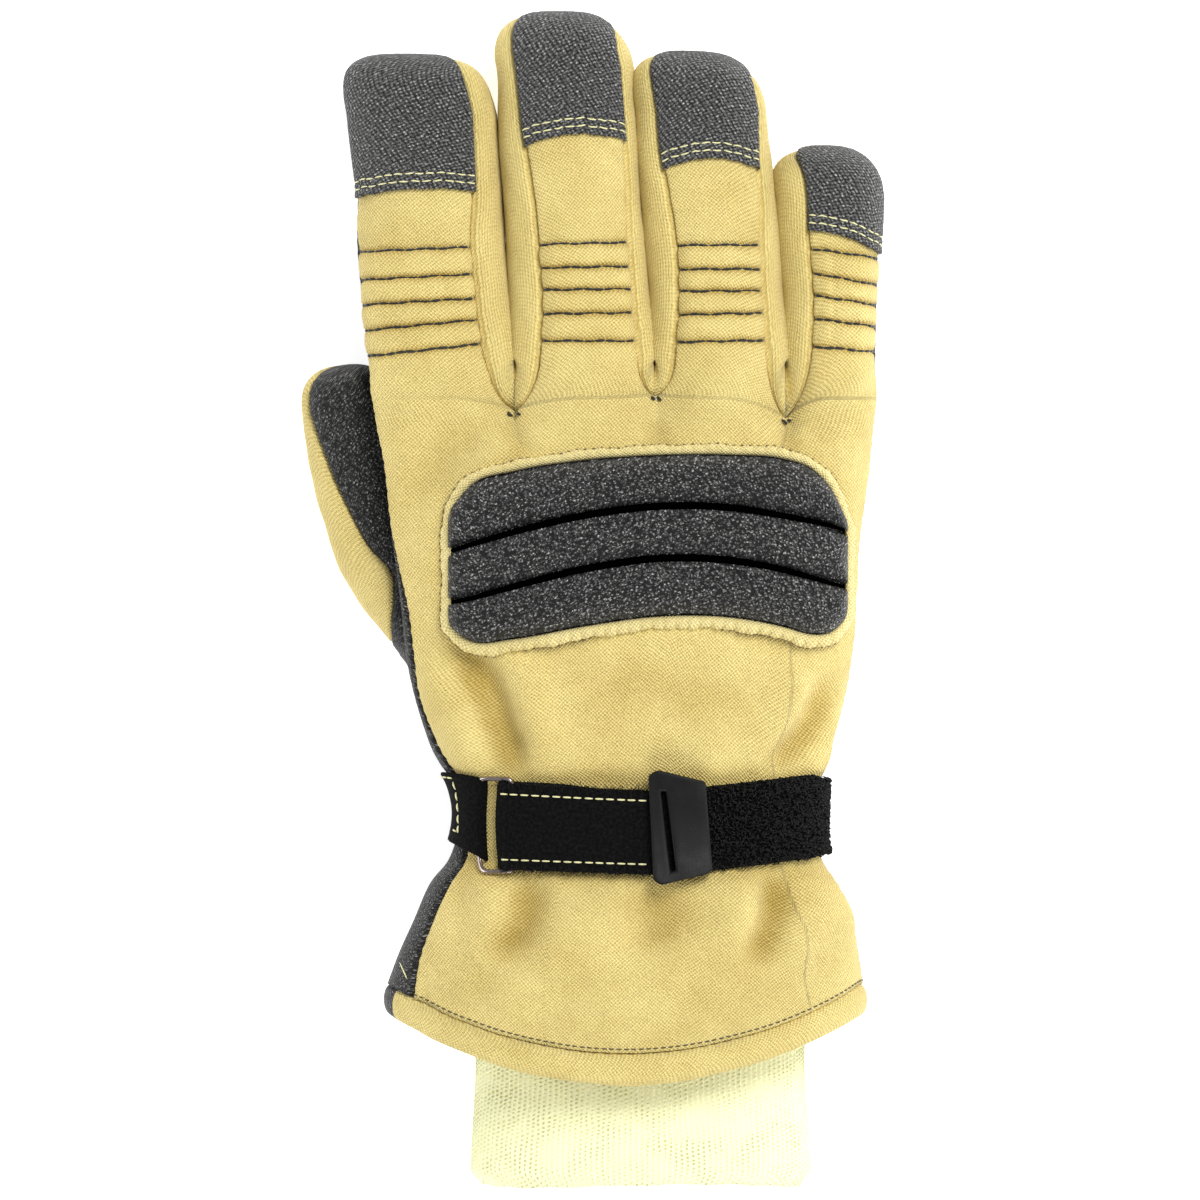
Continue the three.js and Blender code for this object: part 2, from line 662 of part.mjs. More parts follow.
// Knitted wristlet, sewn in at the wrist and hanging out below the hem
const wristletRings = [
  { from: 0.707, reach: 0, loose: 0 },
  { from: 0.79, reach: 0, loose: 0 },
  { from: 0.84, reach: 0, loose: 0 },
  { from: 0.91, reach: 0, loose: 0.4 },
  { from: 1, reach: 0, loose: 1 },
  { from: 1, reach: 0.5, loose: 1 },
  { from: 1, reach: 1, loose: 1 },
];
const hemBottom = bodyLength + hemSag + hemWidth;
const wristletRows = wristletRings.map(({ from, reach, loose }) => {
  const snug = [wall + clothGap, wall + clothGap + wristletWall].map((inset) => bodyRing(from, inset));
  return snug[0].map((outerPoint, k) => {
    const turn = (k % ringColumns) / ringColumns * FULL_TURN;
    const y = from < 1 ? outerPoint[1] : lerp(-bodyLength, -hemBottom - wristletReach, reach);
    const free = (inset) => {
      const [c, s] = [Math.cos(turn), Math.sin(turn)];
      const x = wristletX + Math.sign(c) * Math.abs(c) ** 0.85 * (wristletWidth / 2 - inset);
      const up = Math.sign(s) * Math.abs(s) ** 0.85 * (wristletHeight / 2 - inset);
      return [x, y, wristletLift + up];
    };
    const mix = (a, b) => a.map((value, axis) => lerp(value, b[axis], loose));
    return {
      outer: mix([outerPoint[0], y, outerPoint[2]], free(0)),
      inner: mix([snug[1][k][0], y, snug[1][k][2]], free(wristletWall)),
    };
  });
});
add('wristlet', sheet({ rows: wristletRows, flip: false }), 'wristlet');

// The turn round the section at which a face raised off the body's back is at a given x
function turnAt(x, y, raise) {
  const row = bodyRow(-y / bodyLength);
  const middle = (row.left + row.right) / 2 * halfKnuckle;
  const half = (row.right - row.left) / 2 * halfKnuckle + raise;
  return Math.acos(clamp((x - middle) / half, -1, 1));
}

// A strap lies on the body and runs round its section. Each end is at an x on the back, or at a turn.
function strapPatch(ends, steps, width, thickness, raise) {
  const edges = [-0.5, -0.25, 0, 0.25, 0.5];
  const rows = edges.map((edge) => Array.from({ length: steps + 1 }, (_, k) => {
    const level = strapY + edge * width;
    const [from, to] = ends.map((end) => end.turn ?? turnAt(end.x, level + strapSlope * end.x, raise + thickness));
    const turn = lerp(from, to, k / steps);
    const across = Math.cos(turn);
    const along = -(level + strapSlope * across * halfKnuckle) / bodyLength;
    const side = Math.sin(turn) >= 0 ? 1 : -1;
    return {
      outer: bodyPoint(along, across, side, -raise - thickness),
      inner: bodyPoint(along, across, side, -raise),
    };
  }));
  return sheet({ rows, flip: true });
}

const onLoop = clothGap + loopThickness + seamGap;
const barGap = 2 * seamGap + ringWire / 2;
const ringX = flapStartX - barGap - ringWidth / 2;
const tabEndX = ringX - ringWidth / 2 - barGap - 2 * seamGap;
add('strap_tab', strapPatch([{ x: tabEndX }, { turn: Math.PI + sideWrap }], 8,
  0.88 * strapWidth, overlayThickness, clothGap), 'suede');
add('strap_loop', strapPatch([{ turn: -sideWrap }, { x: flapEndX - pullWidth }], 14,
  strapWidth, loopThickness, clothGap), 'suede');
add('strap_flap', strapPatch([{ x: flapEndX }, { x: flapStartX }], 8,
  strapWidth, flapThickness, onLoop), 'suede');

// Wire ring that the flap passes through, and the tab is folded round
const ringSides = 6;
const ringHalfX = ringWidth / 2;
const ringHalfY = strapWidth / 2 + 2 * ringWire;
const ringSection = Array.from({ length: ringSides + 1 }, (_, k) => {
  const turn = -(k % ringSides) / ringSides * FULL_TURN;
  return [Math.cos(turn) * ringWire / 2, Math.sin(turn) * ringWire / 2];
});
const ringSteps = 24;
const ringRows = Array.from({ length: ringSteps + 1 }, (_, k) => {
  const turn = (k % ringSteps) / ringSteps * FULL_TURN;
  const [c, s] = [Math.cos(turn), Math.sin(turn)];
  const [cx, cy] = [Math.sign(c) * Math.abs(c) ** 0.4, Math.sign(s) * Math.abs(s) ** 0.4];
  const x = ringX + cx * ringHalfX;
  const y = strapY + strapSlope * ringX + cy * ringHalfY;
  const level = backAt(x, y, clothGap + overlayThickness + 2 * seamGap)[2];
  return ringSection.map(([out, up]) => [x + cx * out, y + cy * out, level + up]);
});
add('strap_ring', closedSkin(ringRows), 'wire');

// Moulded pull tab at the end of the flap, a bevelled plate with a slot
const pullShape = new THREE.Shape([
  new THREE.Vector2(-pullWidth / 2, -pullLength / 2),
  new THREE.Vector2(pullWidth / 2, -0.4 * pullLength),
  new THREE.Vector2(pullWidth / 2, 0.42 * pullLength),
  new THREE.Vector2(-0.3 * pullWidth, pullLength / 2),
  new THREE.Vector2(-pullWidth / 2, 0.42 * pullLength),
]);
const slotHalf = (pullLength - 2 * slotInset) / 2;
pullShape.holes.push(new THREE.Path([
  new THREE.Vector2(-0.22 * pullWidth, -slotHalf),
  new THREE.Vector2(-0.22 * pullWidth, slotHalf),
  new THREE.Vector2(-0.12 * pullWidth, slotHalf),
  new THREE.Vector2(-0.12 * pullWidth, -slotHalf),
]));
const pullGeometry = new THREE.ExtrudeGeometry(pullShape, {
  depth: pullThickness - 2 * pullBevel,
  bevelThickness: pullBevel,
  bevelSize: pullBevel,
  bevelOffset: -pullBevel,
  bevelSegments: 1,
});
const pullX = flapEndX + 2 * seamGap + pullWidth / 2;
const pullY = strapY + strapSlope * pullX;
const levelsAcross = [-1, 1].map((end) => backAt(pullX + end * pullWidth / 2, pullY, 0)[2]);
const levelsAlong = [-1, 1].map((end) => backAt(pullX, pullY + end * strapWidth / 2, 0)[2]);
pullGeometry.translate(0, 0, pullBevel);
const pullTab = new THREE.Mesh(pullGeometry, new THREE.MeshStandardMaterial(colours.plastic));
pullTab.name = 'pull_tab';
pullTab.rotation.set(
  Math.atan2(levelsAlong[1] - levelsAlong[0], strapWidth),
  Math.atan2(levelsAcross[0] - levelsAcross[1], pullWidth),
  0,
);
pullTab.position.set(pullX, pullY, backAt(pullX, pullY, onLoop + pullLift)[2]);
group.add(pullTab);

// The finished glove stands with the middle of its footprint at the origin
const box = new THREE.Box3().setFromObject(group);
group.position.set(-(box.min.x + box.max.x) / 2, -(box.min.y + box.max.y) / 2, -box.min.z);

export default group;
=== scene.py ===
import math
import bmesh
import bpy
import numpy as np
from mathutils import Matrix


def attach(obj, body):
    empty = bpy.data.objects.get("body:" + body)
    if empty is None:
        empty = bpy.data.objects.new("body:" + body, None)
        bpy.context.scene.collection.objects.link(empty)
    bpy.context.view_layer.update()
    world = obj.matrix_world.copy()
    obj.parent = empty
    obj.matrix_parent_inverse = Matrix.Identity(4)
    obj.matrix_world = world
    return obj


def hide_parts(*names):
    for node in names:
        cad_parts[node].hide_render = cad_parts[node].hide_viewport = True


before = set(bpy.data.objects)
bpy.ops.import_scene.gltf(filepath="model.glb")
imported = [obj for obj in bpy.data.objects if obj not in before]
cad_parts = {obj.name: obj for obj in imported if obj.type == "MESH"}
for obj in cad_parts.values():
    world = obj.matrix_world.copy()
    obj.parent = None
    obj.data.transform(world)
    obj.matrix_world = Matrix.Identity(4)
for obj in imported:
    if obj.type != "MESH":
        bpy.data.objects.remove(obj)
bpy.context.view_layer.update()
mm = 0.001

# Back of the hand, cut in one with the four finger backs: gold jersey knit over a thermal liner, sewn to
# the side strips and the palm. Four padded flex ribs are quilted across each finger below its knuckle. All
# lengths are millimetres in the frame's own axes.
cloth_wall = 3.0
root_line = 52.6
hand_columns = ("down", "left", "right", "top", "left_edge", "right_edge", "bottom", "seam")
hand_rows = dict(zip(hand_columns, np.array([
    (0, -59.5, 74.6, 42.3, 30.4, 22.1, 0, 0),
    (12, -57.6, 73.8, 44.6, 33, 22.1, 0, 0),
    (24, -55.9, 72.4, 45.6, 34, 22.1, 0, 0),
    (35, -54.7, 71.0, 46, 33.7, 22.1, 0, 0),
    (46, -53.2, 70.0, 46, 32.7, 22.1, 0, 0.4),
    (57, -51.8, 69.4, 45.7, 31.2, 22.1, 0, 1.2),
    (68, -50.7, 68.6, 45, 29.9, 22.1, 0, 1.4),
    (80, -48.2, 66.6, 43.9, 27.9, 22.1, 0.6, 0.9),
    (92, -44.1, 62.6, 42.9, 25.8, 22.3, 1.8, 1.5),
    (103, -38.5, 60.0, 42.2, 24.2, 22.7, 3.3, 2.0),
    (110, -36.6, 59.6, 41.9, 23.6, 23, 4.1, 1.6),
    (119, -38.6, 60.1, 42.8, 23.9, 23.2, 3.8, 3.4),
    (127, -43.2, 63.6, 45, 24.8, 23.9, 3, 4.6),
    (137, -47.8, 68.2, 49.6, 26.6, 26, 1.9, 4.2),
    (147, -52.4, 70.2, 55.4, 29.4, 28.6, 1.1, 4.6),
    (155.5, -55.6, 71.4, 60.7, 31.3, 30.4, 0.9, 6.2),
]).T))
hand_length = 155.5
hem_sag = 17.9
hem_sag_run = 31
back_roundness = 2.4
palm_roundness = 2.0
palm_flattening = 1.5
strap_down = 113.3
strap_half = 12
strap_give = 0.85
strap_press = 0.35

finger_columns = ("up", "left", "left_seam", "right_seam", "right")
finger_shapes = [
    dict(name="index", length=91.7, straight=76.5, cap=35.5, tip_shift=-3.4, squareness=3.3, skew=-1.6,
         left_end=1.0, right_end=0.95, open_side="left", drops=(0, 3),
         quilt_left=(11.5, 18.4, 25.3, 32.0, 39.5), quilt_right=(15.7, 22.1, 27.5, 33.9, 41.1), rows=[
             (0, -59.5, -59.5, -28.6, -21.6),
             (13, -61.0, -61.0, -29.3, -22.1),
             (27, -62.6, -62.6, -31.3, -23.3),
             (41, -63.9, -63.9, -32.4, -24.5),
             (56, -63.9, -63.9, -32.0, -25.5),
             (67, -64.8, -64.8, -32.5, -26.8),
             (76.5, -65.9, -65.9, -33.0, -27.2)]),
    dict(name="middle", length=103.1, straight=88.5, cap=34, tip_shift=-2.6, squareness=2.7, skew=-1.5,
         left_end=0.95, right_end=0.55, open_side="", drops=(3, -1),
         quilt_left=(15.7, 22.7, 29.1, 34.9, 41.1), quilt_right=(15.7, 23.2, 29.6, 35.7, 42.1), rows=[
             (0, -21.6, -15.4, 11.6, 15.5),
             (13, -22.0, -15.3, 11.3, 15.0),
             (27, -22.9, -14.8, 10.2, 14.2),
             (41, -23.7, -15.8, 9.5, 12.9),
             (56, -24.6, -17.3, 8.8, 11.4),
             (72, -25.3, -19.7, 7.6, 10.4),
             (88.5, -25.8, -21.4, 6.6, 9.6)]),
    dict(name="ring", length=92.4, straight=77.5, cap=29.6, tip_shift=-3.2, squareness=2.8, skew=-1.5,
         left_end=0.95, right_end=0.5, open_side="", drops=(-1, 5),
         quilt_left=(15.2, 22.4, 28.8, 34.7, 41.1), quilt_right=(16.0, 23.2, 29.1, 34.9, 41.3), rows=[
             (0, 15.5, 20.9, 46.1, 50.4),
             (13, 15.1, 21.0, 46.0, 50.3),
             (27, 14.0, 21.5, 45.3, 49.5),
             (41, 12.8, 20.8, 44.6, 48.7),
             (56, 11.7, 18.9, 43.9, 47.2),
             (67, 11.0, 17.0, 43.4, 46.2),
             (77.5, 10.5, 16.2, 43.0, 44.8)]),
    dict(name="little", length=67.1, straight=54, cap=24, tip_shift=-1.6, squareness=2.7, skew=-1.2,
         left_end=0.95, right_end=1.0, open_side="right", drops=(5, 0),
         quilt_left=(14.9, 22.7, 29.1, 35.2, 41.3), quilt_right=(12.8, 19.5, 25.3, 30.7, 37.9), rows=[
             (0, 50.4, 57.0, 74.6, 74.6),
             (13, 50.4, 57.2, 74.8, 74.8),
             (27, 49.9, 57.5, 75.2, 75.2),
             (41, 48.4, 56.6, 75.6, 75.6),
             (54, 47.6, 56.4, 76.3, 76.3)]),
]
finger_tip_height = 27
tip_middle_share = 0.46
finger_root_run = 14
palm_strip_share = 0.68
crotch_dip = 0.3
crotch_run = 14
strip_columns = 34
rib_rise = 1.9
rib_fullness = 0.55
rib_groove = 0.75
rib_groove_reach = 0.5
edge_roll = 1.5
pucker_pitch = 3.4
root_blend = 5
finger_unevenness = 0.6


def ease(share):
    t = np.clip(share, 0, 1)
    return t * t * (3 - 2 * t)


def mix(a, b, share):
    return a + (b - a) * share


def crown(share, power):
    return (1 - np.minimum(np.abs(share), 1) ** power) ** (1 / power)


def between_rows(places, values, at):
    """A smooth curve through a table's rows."""
    slopes = np.gradient(values, places)
    k = np.clip(np.searchsorted(places, at) - 1, 0, len(places) - 2)
    run = places[k + 1] - places[k]
    t = np.clip((at - places[k]) / run, 0, 1)
    bend = (2 * t**3 - 3 * t**2 + 1) * values[k] + (3 * t**2 - 2 * t**3) * values[k + 1]
    return bend + run * ((t**3 - 2 * t**2 + t) * slopes[k] + (t**3 - t**2) * slopes[k + 1])


def hand_column(name, down):
    return between_rows(hand_rows["down"], hand_rows[name], down)


def under_strap(down):
    """1 where the strap crosses, and 0 away from it."""
    return 1 - ease((np.abs(down - strap_down) - strap_half + 3) / 7)


def plain_hand(down, across, side, inset):
    """The hand's own form: across runs from -1 at the thumb's side to 1, and side is 1 on the back."""
    share = (across + 1) / 2
    y = root_line - down - hem_sag * (1 - across**2) * ease((down - hand_length + hem_sag_run) / hem_sag_run)
    down = mix(down, strap_down + strap_give * (down - strap_down), under_strap(down))
    x = mix(hand_column("left", down) + inset, hand_column("right", down) - inset, share)
    edge = mix(hand_column("left_edge", down), hand_column("right_edge", down), share)
    back = edge + crown(across, back_roundness) * (hand_column("top", down) - inset - edge)
    floor = hand_column("bottom", down) + inset
    palm = edge - crown(across, palm_roundness) * (edge - floor + palm_flattening)
    return np.stack([x, y, np.where(side > 0, back, np.maximum(palm, floor))], -1)


half_hand = (hand_rows["right"][0] - hand_rows["left"][0]) / 2
hand_middle = (hand_rows["right"][0] + hand_rows["left"][0]) / 2


class Finger:
    def __init__(self, shape):
        self.__dict__.update(shape)
        self.table = dict(zip(finger_columns, np.array(self.rows, float).T))
        middle = (self.table["left"][0] + self.table["right"][0]) / 2
        share = (middle - hand_middle) / half_hand
        self.root_top = float(plain_hand(0.0, share, 1, 0)[2])
        edges = hand_rows["left_edge"][0], hand_rows["right_edge"][0]
        self.root_middle = mix(edges[0], edges[1], (share + 1) / 2)

    def column(self, name, station):
        return between_rows(self.table["up"], self.table[name], np.minimum(station, 1) * self.straight)

    def section(self, station, inset):
        """The cross-section: station is 0 at the root, 1 where the tip's dome starts and 2 at its end."""
        turn = np.maximum(station - 1, 0) * math.pi / 2
        shrink = np.maximum(np.cos(turn), 0) ** (2 / self.squareness)
        reach = np.sin(turn) ** (2 / self.squareness)
        straight = np.minimum(station, 1)
        grown = ease(straight * self.straight / finger_root_run)
        left, right = self.column("left", station), self.column("right", station)
        half = (right - left) / 2
        middle = mix(self.root_middle, finger_tip_height * tip_middle_share, straight)
        top = mix(self.root_top, finger_tip_height, straight)
        left_inset = inset * (1 if self.open_side == "left" else grown)
        right_inset = inset * (1 if self.open_side == "right" else grown)
        return dict(
            grown=grown,
            centre=(left + right) / 2 + self.tip_shift * reach,
            left=(half - left_inset) * shrink,
            right=(half - right_inset) * shrink,
            y=root_line + straight * self.straight + (self.length - self.straight - inset) * reach,
            middle=middle,
            rise=(top - middle - inset) * shrink,
            fall=(middle - inset) * shrink,
        )

    def seam(self, station, direction, side):
        """How far out a seam runs, as a share of the half width."""
        if self.open_side == ("left" if direction < 0 else "right"):
            return np.ones_like(station)
        end = self.left_end if direction < 0 else self.right_end
        half = (self.column("right", station) - self.column("left", station)) / 2
        centre = (self.column("left", station) + self.column("right", station)) / 2
        seam_line = self.column("left_seam" if direction < 0 else "right_seam", station)
        share = direction * (seam_line - centre) / half
        opening = np.sqrt(1 - (1 - np.clip(np.minimum(station, 1) * self.straight / crotch_run, 0, 1)) ** 2)
        plain = mix(1.0, share, opening)
        if side < 0:
            plain = np.maximum(plain, mix(1.0, palm_strip_share, opening))
        return mix(plain, 1.0, ease((station - 1) / end) ** 1.6)

    def point(self, station, share, side, inset):
        """A point on the back or palm of the finger, at a share of its half width."""
        cut = self.section(station, inset)
        half = np.where(share < 0, cut["left"], cut["right"])
        power = np.where((share < 0) == (self.open_side == "left"), 0, 1) if self.open_side else 1
        power = back_roundness if side > 0 else palm_roundness + power
        full = crown(share, power)
        shape = mix(1 - crotch_dip * np.abs(share) ** back_roundness, full, cut["grown"])
        if self.open_side:
            outer = (share < 0) if self.open_side == "left" else (share > 0)
            shape = np.where(outer, full, shape)
        drop = np.where(share < 0, self.drops[0], self.drops[1]) * share**2
        y = cut["y"] - drop * (1 - cut["grown"])
        if side > 0:
            z = cut["middle"] + shape * np.maximum(cut["rise"], 0)
        else:
            sink = palm_flattening * (1 - ease(2 * (station - 1)))
            z = np.maximum(cut["middle"] - shape * np.maximum(cut["fall"] + sink, 0), inset)
        return np.stack(np.broadcast_arrays(cut["centre"] + share * half, y, z), -1)

    def steps(self, count):
        t = np.linspace(0, 1, count + 1)
        if self.open_side == "left":
            return 1 - np.cos(t * math.pi / 2)
        return np.sin(t * math.pi / 2) if self.open_side == "right" else t


fingers = [Finger(shape) for shape in finger_shapes]


def arc_from(points, axis, backwards=False):
    """Lengths along a grid's rows or columns, from its first line or backwards from its last."""
    steps = np.linalg.norm(np.diff(points, axis=axis), axis=-1)
    pad = [(0, 0), (0, 0)]
    if backwards:
        pad[axis] = (0, 1)
        return np.pad(np.flip(np.cumsum(np.flip(steps, axis), axis), axis), pad)
    pad[axis] = (1, 0)
    return np.pad(np.cumsum(steps, axis), pad)


def to_edge(points, axis=1):
    """Lengths over a grid to the nearer of two facing edges."""
    return np.minimum(arc_from(points, axis), arc_from(points, axis, True))


def roll_in(distance, radius=edge_roll):
    """How far a sewn edge turns under, at a distance from its seam."""
    near = np.clip(1 - distance / radius, 0, 1)
    return radius * (1 - np.sqrt(1 - near**2))


def pucker(distance, along, depth=0.28, reach=2.6):
    """The small gathers that a row of stitches pulls into the cloth beside it."""
    wave = np.sin(along * 2 * math.pi / pucker_pitch + 1.3 * np.sin(along / 7.3))
    return depth * np.exp(-distance / reach) * (0.5 + 0.5 * wave)


rng = np.random.default_rng(7)
ripple_lengths = (47, 38, 29, 23, 17, 13, 9.5, 7.2)
ripple_sizes = (0.34, 0.3, 0.24, 0.2, 0.14, 0.1, 0.06, 0.045)
ripple_waves = [(rng.uniform(0, 2 * math.pi), rng.uniform(0, 2 * math.pi), 2 * math.pi / length, size)
                for length, size in zip(ripple_lengths, ripple_sizes)]


def ripples(points):
    """Slight unevenness of filled cloth, in a few sizes of wave."""
    x, y, z = points[..., 0], points[..., 1], points[..., 2]
    total = np.zeros_like(x)
    for turn, shift, rate, size in ripple_waves:
        path = math.cos(turn) * x + math.sin(turn) * y + 0.6 * z
        total += size * np.sin(rate * path + shift + 1.5 * np.sin(0.31 * rate * (x - y) + turn))
    return total


cap_underlap = 6


def finger_rows(finger, side):
    """Stations up a finger: close together at the root and over the ribs, wide apart under a cap."""
    if side < 0:
        ups = np.concatenate([np.linspace(0, 12, 13), np.arange(13.5, finger.straight - 1, 1.6)])
    else:
        ups = np.concatenate([np.linspace(0, 9.5, 11), np.linspace(10.1, 43.1, 67),
                              np.arange(44.2, finger.length - finger.cap + cap_underlap, 1.5)])
    ups = ups[ups < finger.straight - 0.5]
    dome = 1 + np.linspace(0, 1, 19 if side < 0 else 13)
    return np.concatenate([ups / finger.straight, dome])


def finger_strip(finger, side, relief=None):
    """One strip of a finger with its outer and inner faces, its edges turned under at the seams."""
    station = finger_rows(finger, side)[:, None]
    ends = [direction * finger.seam(station, direction, side) for direction in (-1, 1)]
    share = mix(ends[0], ends[1], finger.steps(strip_columns)[None, :])
    station = np.broadcast_to(station, share.shape)
    plain = finger.point(station, share, side, 0.0)
    to_edges = to_edge(plain)
    along = arc_from(plain, 0)
    fade = ease(station * finger.straight / root_blend)
    if finger.open_side:
        fade = np.where((share < 0) == (finger.open_side == "left"), 1, fade)
    uneven = mix(1.0, finger_unevenness, ease(station * finger.straight / 25))
    inset = (roll_in(to_edges) + pucker(to_edges, along)) * fade - uneven * ripples(plain) * (side > 0)
    if relief is not None:
        inset = inset - relief(plain, to_edges)
    outer = finger.point(station, share, side, inset)
    inner = finger.point(station, share, side, np.full_like(share, cloth_wall))
    flat = np.stack([arc_from(plain, 1) - to_edges.max() + hand_middle, root_line + along], -1)
    return dict(outer=outer, inner=inner, flat=flat)


def quilt_lines(finger, x):
    """Heights of the quilting rows above the finger's root, a little unsteady as sewn by hand."""
    share = (x - finger.table["left"][2]) / (finger.table["right"][2] - finger.table["left"][2])
    lines = zip(finger.quilt_left, finger.quilt_right)
    return [mix(a, b, share) + 0.12 * np.sin(x * 0.7 + 2.1 * k) for k, (a, b) in enumerate(lines)]


def quilted(finger):
    """Padded ribs between rows of stitches: each rib stands up and the rows pull in."""
    def relief(points, to_edges):
        up = points[..., 1] - root_line
        lines = quilt_lines(finger, points[..., 0])
        place = sum(np.clip((up - low) / (high - low), 0, 1) for low, high in zip(lines, lines[1:]))
        rib = np.abs(np.sin(place * math.pi)) ** rib_fullness
        left, right = finger.table["left"][2], finger.table["right"][2]
        outer = (points[..., 0] < (left + right) / 2) == (finger.open_side == "left")
        ends = 0.15 + 0.85 * ease(to_edges / np.where(outer & bool(finger.open_side), 14, 5))
        groove = rib_groove * sum(np.exp(-((up - line) / rib_groove_reach) ** 2) for line in lines)
        return rib_rise * rib * ends - groove
    return relief


def root_row(side):
    """Where the hand's first row follows the fingers' own curves."""
    rows = []
    for finger in fingers:
        station = np.zeros((1, strip_columns + 1))
        shares = mix(-finger.seam(station, -1, side), finger.seam(station, 1, side),
                     finger.steps(strip_columns)[None, :])
        row = finger.point(station, shares, side, 0.0)[0]
        rows.append(row[1:] if rows else row)
    row = np.concatenate(rows)
    across = np.clip((row[:, 0] - hand_middle) / half_hand, -1, 1)
    plain = plain_hand(np.zeros(len(across)), across, side, 0)
    return dict(across=across, lift=row[:, 2] - plain[:, 2], shift=row[:, 1] - plain[:, 1])


root_rows = {1: root_row(1), -1: root_row(-1)}
root_fade = 15.5


def hand_point(down, across, side, inset):
    """The hand's form with its upper edge bent to meet the fingers."""
    point = plain_hand(down, across, side, inset)
    near = 1 - ease(down / root_fade)
    for key, axis in (("lift", 2), ("shift", 1)):
        back, palm = (np.interp(across, root_rows[s]["across"], root_rows[s][key]) for s in (1, -1))
        point[..., axis] += near * np.where(side > 0, back, palm)
    point[..., 2] = np.where(side > 0, point[..., 2], np.maximum(point[..., 2], inset))
    return point


fold_columns = ("from_x", "from_y", "to_x", "to_y", "width", "depth")
folds = [
    (-36, -14, -21, -45, 5.0, 4.8),
    (61, -25, 49, -45, 3.8, 3.6),
    (48, -75, 44, -96, 5.0, 4.2),
    (62, -74, 55, -84, 5.0, 0.8),
    (-18, -76, -23, -95, 6.0, 3.8),
    (14, -78, 17, -93, 8.0, 3.0),
    (-37, -76, -34, -92, 4.5, 1.8),
    (28, -80, 31, -100, 7, 1.0),
    (-46, 26, -33, 46, 6, 1.2),
    (56, 30, 60, 46, 5, 1.0),
    (-4, -24, 40, -28, 8, 1.0),
    (-22, 44, -23, 34, 3.5, 1.2),
    (15.5, 46, 16, 36, 3.5, 1.1),
    (50, 44, 49, 33, 3.5, 1.2),
]


def fold_depth(points):
    """Valleys that the folds of the cloth make, each from one place to another."""
    x, y = points[..., 0], points[..., 1]
    total = np.zeros_like(x)
    for row in folds:
        fold = dict(zip(fold_columns, row))
        run = np.array([fold["to_x"] - fold["from_x"], fold["to_y"] - fold["from_y"]])
        length = np.hypot(*run)
        run = run / length
        along = (x - fold["from_x"]) * run[0] + (y - fold["from_y"]) * run[1]
        off = (x - fold["from_x"]) * run[1] - (y - fold["from_y"]) * run[0]
        off = off + 1.2 * np.sin(along / length * 4)
        fade_run = 0.5 * length
        ends = ease((along + 0.25 * length) / fade_run) * ease((1.25 * length - along) / fade_run)
        place = off / fold["width"]
        valley = np.exp(-place**2) - 0.4 * (np.exp(-(place - 2) ** 2) + np.exp(-(place + 2) ** 2))
        total += fold["depth"] * valley * ends
    return total


hand_step = 1.25


def hand_patch(side, strips):
    """The hand's back or palm, from the row it shares with the finger strips down to the hem."""
    even_downs = np.arange(root_fade + hand_step, hand_length, hand_step)
    downs = np.concatenate([np.linspace(0, root_fade, 14), even_downs, [hand_length]])[:, None]
    root = root_rows[side]["across"][None, :]
    even = -np.cos(np.linspace(0, math.pi, root.shape[1]))[None, :]
    across = mix(root, even, 0.7 * ease(downs / (0.6 * hand_length)))
    width = hand_column("right", downs) - hand_column("left", downs)
    seam = 1 - 2 * hand_column("seam", downs) / width
    down = np.broadcast_to(downs, across.shape)
    turn = np.arccos(np.clip(across, -1, 1))
    seam_turn = np.arccos(-np.clip(seam, -1, 1))
    if side > 0:
        turn = turn * seam_turn / math.pi
    else:
        turn = 2 * math.pi - turn * (2 * math.pi - seam_turn) / math.pi
    across = np.cos(turn)
    sides = np.where(turn <= math.pi, 1, -1)
    plain = hand_point(down, across, sides, np.zeros_like(down))
    to_edges = to_edge(plain)
    along = arc_from(plain, 0)
    inset = roll_in(to_edges) + pucker(to_edges, along, 0.4)
    tight = under_strap(down)
    sunk = 0
    if side > 0:
        sunk = fold_depth(plain) * ease(to_edges / 6) * (1 - tight)
        inset = inset + sunk - ripples(plain) * ease(to_edges / 4) * (1 - tight)
    beside = np.exp(-((np.abs(down - strap_down) - strap_half - 7) / 5) ** 2)
    inset = inset + strap_press * (tight - 0.8 * beside)
    outer = hand_point(down, across, sides, inset)
    inner = hand_point(down, across, sides, cloth_wall + strap_press * tight + sunk)
    near = 1 - ease(down / root_fade)[..., None]
    for grid, name in ((outer, "outer"), (inner, "inner")):
        shared = np.concatenate([strip[name][0][min(k, 1):] for k, strip in enumerate(strips)])
        grid += (shared - grid[:1]) * near
    flat = np.stack([arc_from(plain, 1) - arc_from(plain, 1)[:, -1:] / 2, root_line - along], -1)
    return dict(outer=outer, inner=inner, flat=flat)


places_per_mm = 500


